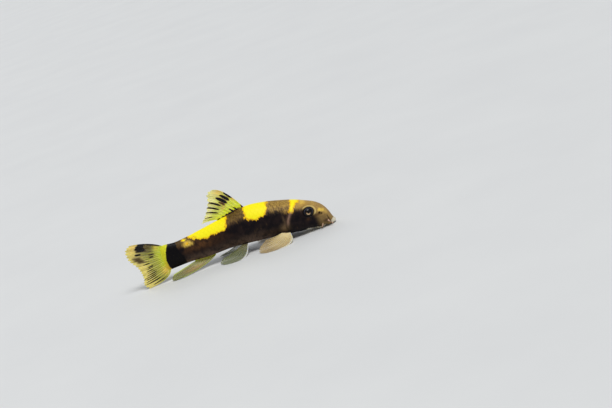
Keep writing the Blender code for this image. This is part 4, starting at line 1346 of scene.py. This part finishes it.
pectoral_skin = lay_over(make_fin_material(
    "pectoral_fin_skin", tint(242, 218, 162), tint(212, 186, 126), tint(168, 141, 92), tint(240, 222, 172),
    clear=0.6, brown_tint=tint(90, 62, 36)), tint(255, 246, 214), 0.95)
pelvic_skin = lay_over(make_fin_material(
    "pelvic_fin_skin", tint(104, 96, 60), tint(100, 108, 62), tint(116, 124, 78), tint(164, 164, 112),
    clear=0.68, brown_tint=tint(80, 62, 38)), tint(255, 252, 244), 0.95)
for side, word in ((1, "left"), (-1, "right")):
    paired_fin("pectoral_fin_skin_" + word, side, PECTORAL, "pectoral_fin_" + word, pectoral_skin)
    paired_fin("pelvic_fin_skin_" + word, side, PELVIC, "pelvic_fin_" + word, pelvic_skin)

# %% [markdown]
# ## Floor, light and camera
# The fish stands on a plain pale floor that reaches past the edge of the view on all sides. A soft
# light from above and in front falls on the back, as in the photo, and a weaker one from behind shines
# through the fins. Both come from far away, so the floor is as bright at its edge as beside the fish.
# The camera looks from the fish's right, a little from above. It is rolled, because the fish in the
# photo lies on a slope.

# %% Floor
FLOOR_REACH = 6.0


def make_floor():
    """A level sheet that isn't part of the fish."""
    sheet = bmesh.new()
    bmesh.ops.create_grid(sheet, x_segments=8, y_segments=8, size=FLOOR_REACH)
    mesh = bpy.data.meshes.new("floor")
    sheet.to_mesh(mesh)
    sheet.free()
    floor = bpy.data.objects.new("floor", mesh)
    bpy.context.scene.collection.objects.link(floor)
    material, tree, shader = new_material("pale_floor", Roughness=0.6, Specular_IOR_Level=0.3)
    shade = mix(tree, noise(tree, 0.02, detail=3.0), tint(214, 214, 212), tint(222, 222, 219))
    tree.links.new(shade, shader.inputs["Base Color"])
    mesh.materials.append(material)


make_floor()
print("the floor reaches", FLOOR_REACH, "m each way")

# %% Lights
def soft_sun(name, towards, strength, spread):
    """An even light from far away. Its spread in degrees is what softens the shadows."""
    lamp = bpy.data.lights.new(name, "SUN")
    lamp.energy = strength
    lamp.angle = math.radians(spread)
    thing = bpy.data.objects.new(name, lamp)
    thing.rotation_euler = Vector(towards).to_track_quat("Z", "Y").to_euler()
    bpy.context.scene.collection.objects.link(thing)


soft_sun("light_above", (0.22, -0.42, 0.9), 2.1, 28)
soft_sun("light_behind", (-0.5, 0.75, 0.5), 0.5, 30)
world = bpy.data.worlds.new("pale_room")
world.use_nodes = True
sky = world.node_tree.nodes["Background"]
sky.inputs["Color"].default_value = (0.86, 0.91, 1.0, 1)
sky.inputs["Strength"].default_value = 0.4
bpy.context.scene.world = world
bpy.context.scene.view_settings.view_transform = "Standard"

# %% Camera
ELEVATION, ROLL = math.radians(12), math.radians(19.2)
DISTANCE = 0.595
AIM = np.array([0.02837, 0.0, 0.00936])  # what the middle of the picture shows, in metres
FOCAL_LENGTH, SENSOR_WIDTH = 100, 36


def add_camera():
    """A camera that is rolled, so that the level fish slopes in the picture."""
    level = np.array([0, math.sin(ELEVATION), math.cos(ELEVATION)])
    right = math.cos(ROLL) * np.array([1.0, 0, 0]) - math.sin(ROLL) * level
    up = math.sin(ROLL) * np.array([1.0, 0, 0]) + math.cos(ROLL) * level
    back = np.cross(right, up)
    lens = bpy.data.cameras.new("camera")
    lens.lens = FOCAL_LENGTH
    lens.sensor_width = SENSOR_WIDTH
    lens.clip_start = 0.01
    camera = bpy.data.objects.new("camera", lens)
    turned = Matrix((right, up, back)).transposed().to_4x4()
    camera.matrix_world = Matrix.Translation(AIM + DISTANCE * back) @ turned
    bpy.context.scene.collection.objects.link(camera)
    bpy.context.scene.camera = camera


add_camera()
print("camera", round(DISTANCE * 1000), "mm from the fish")
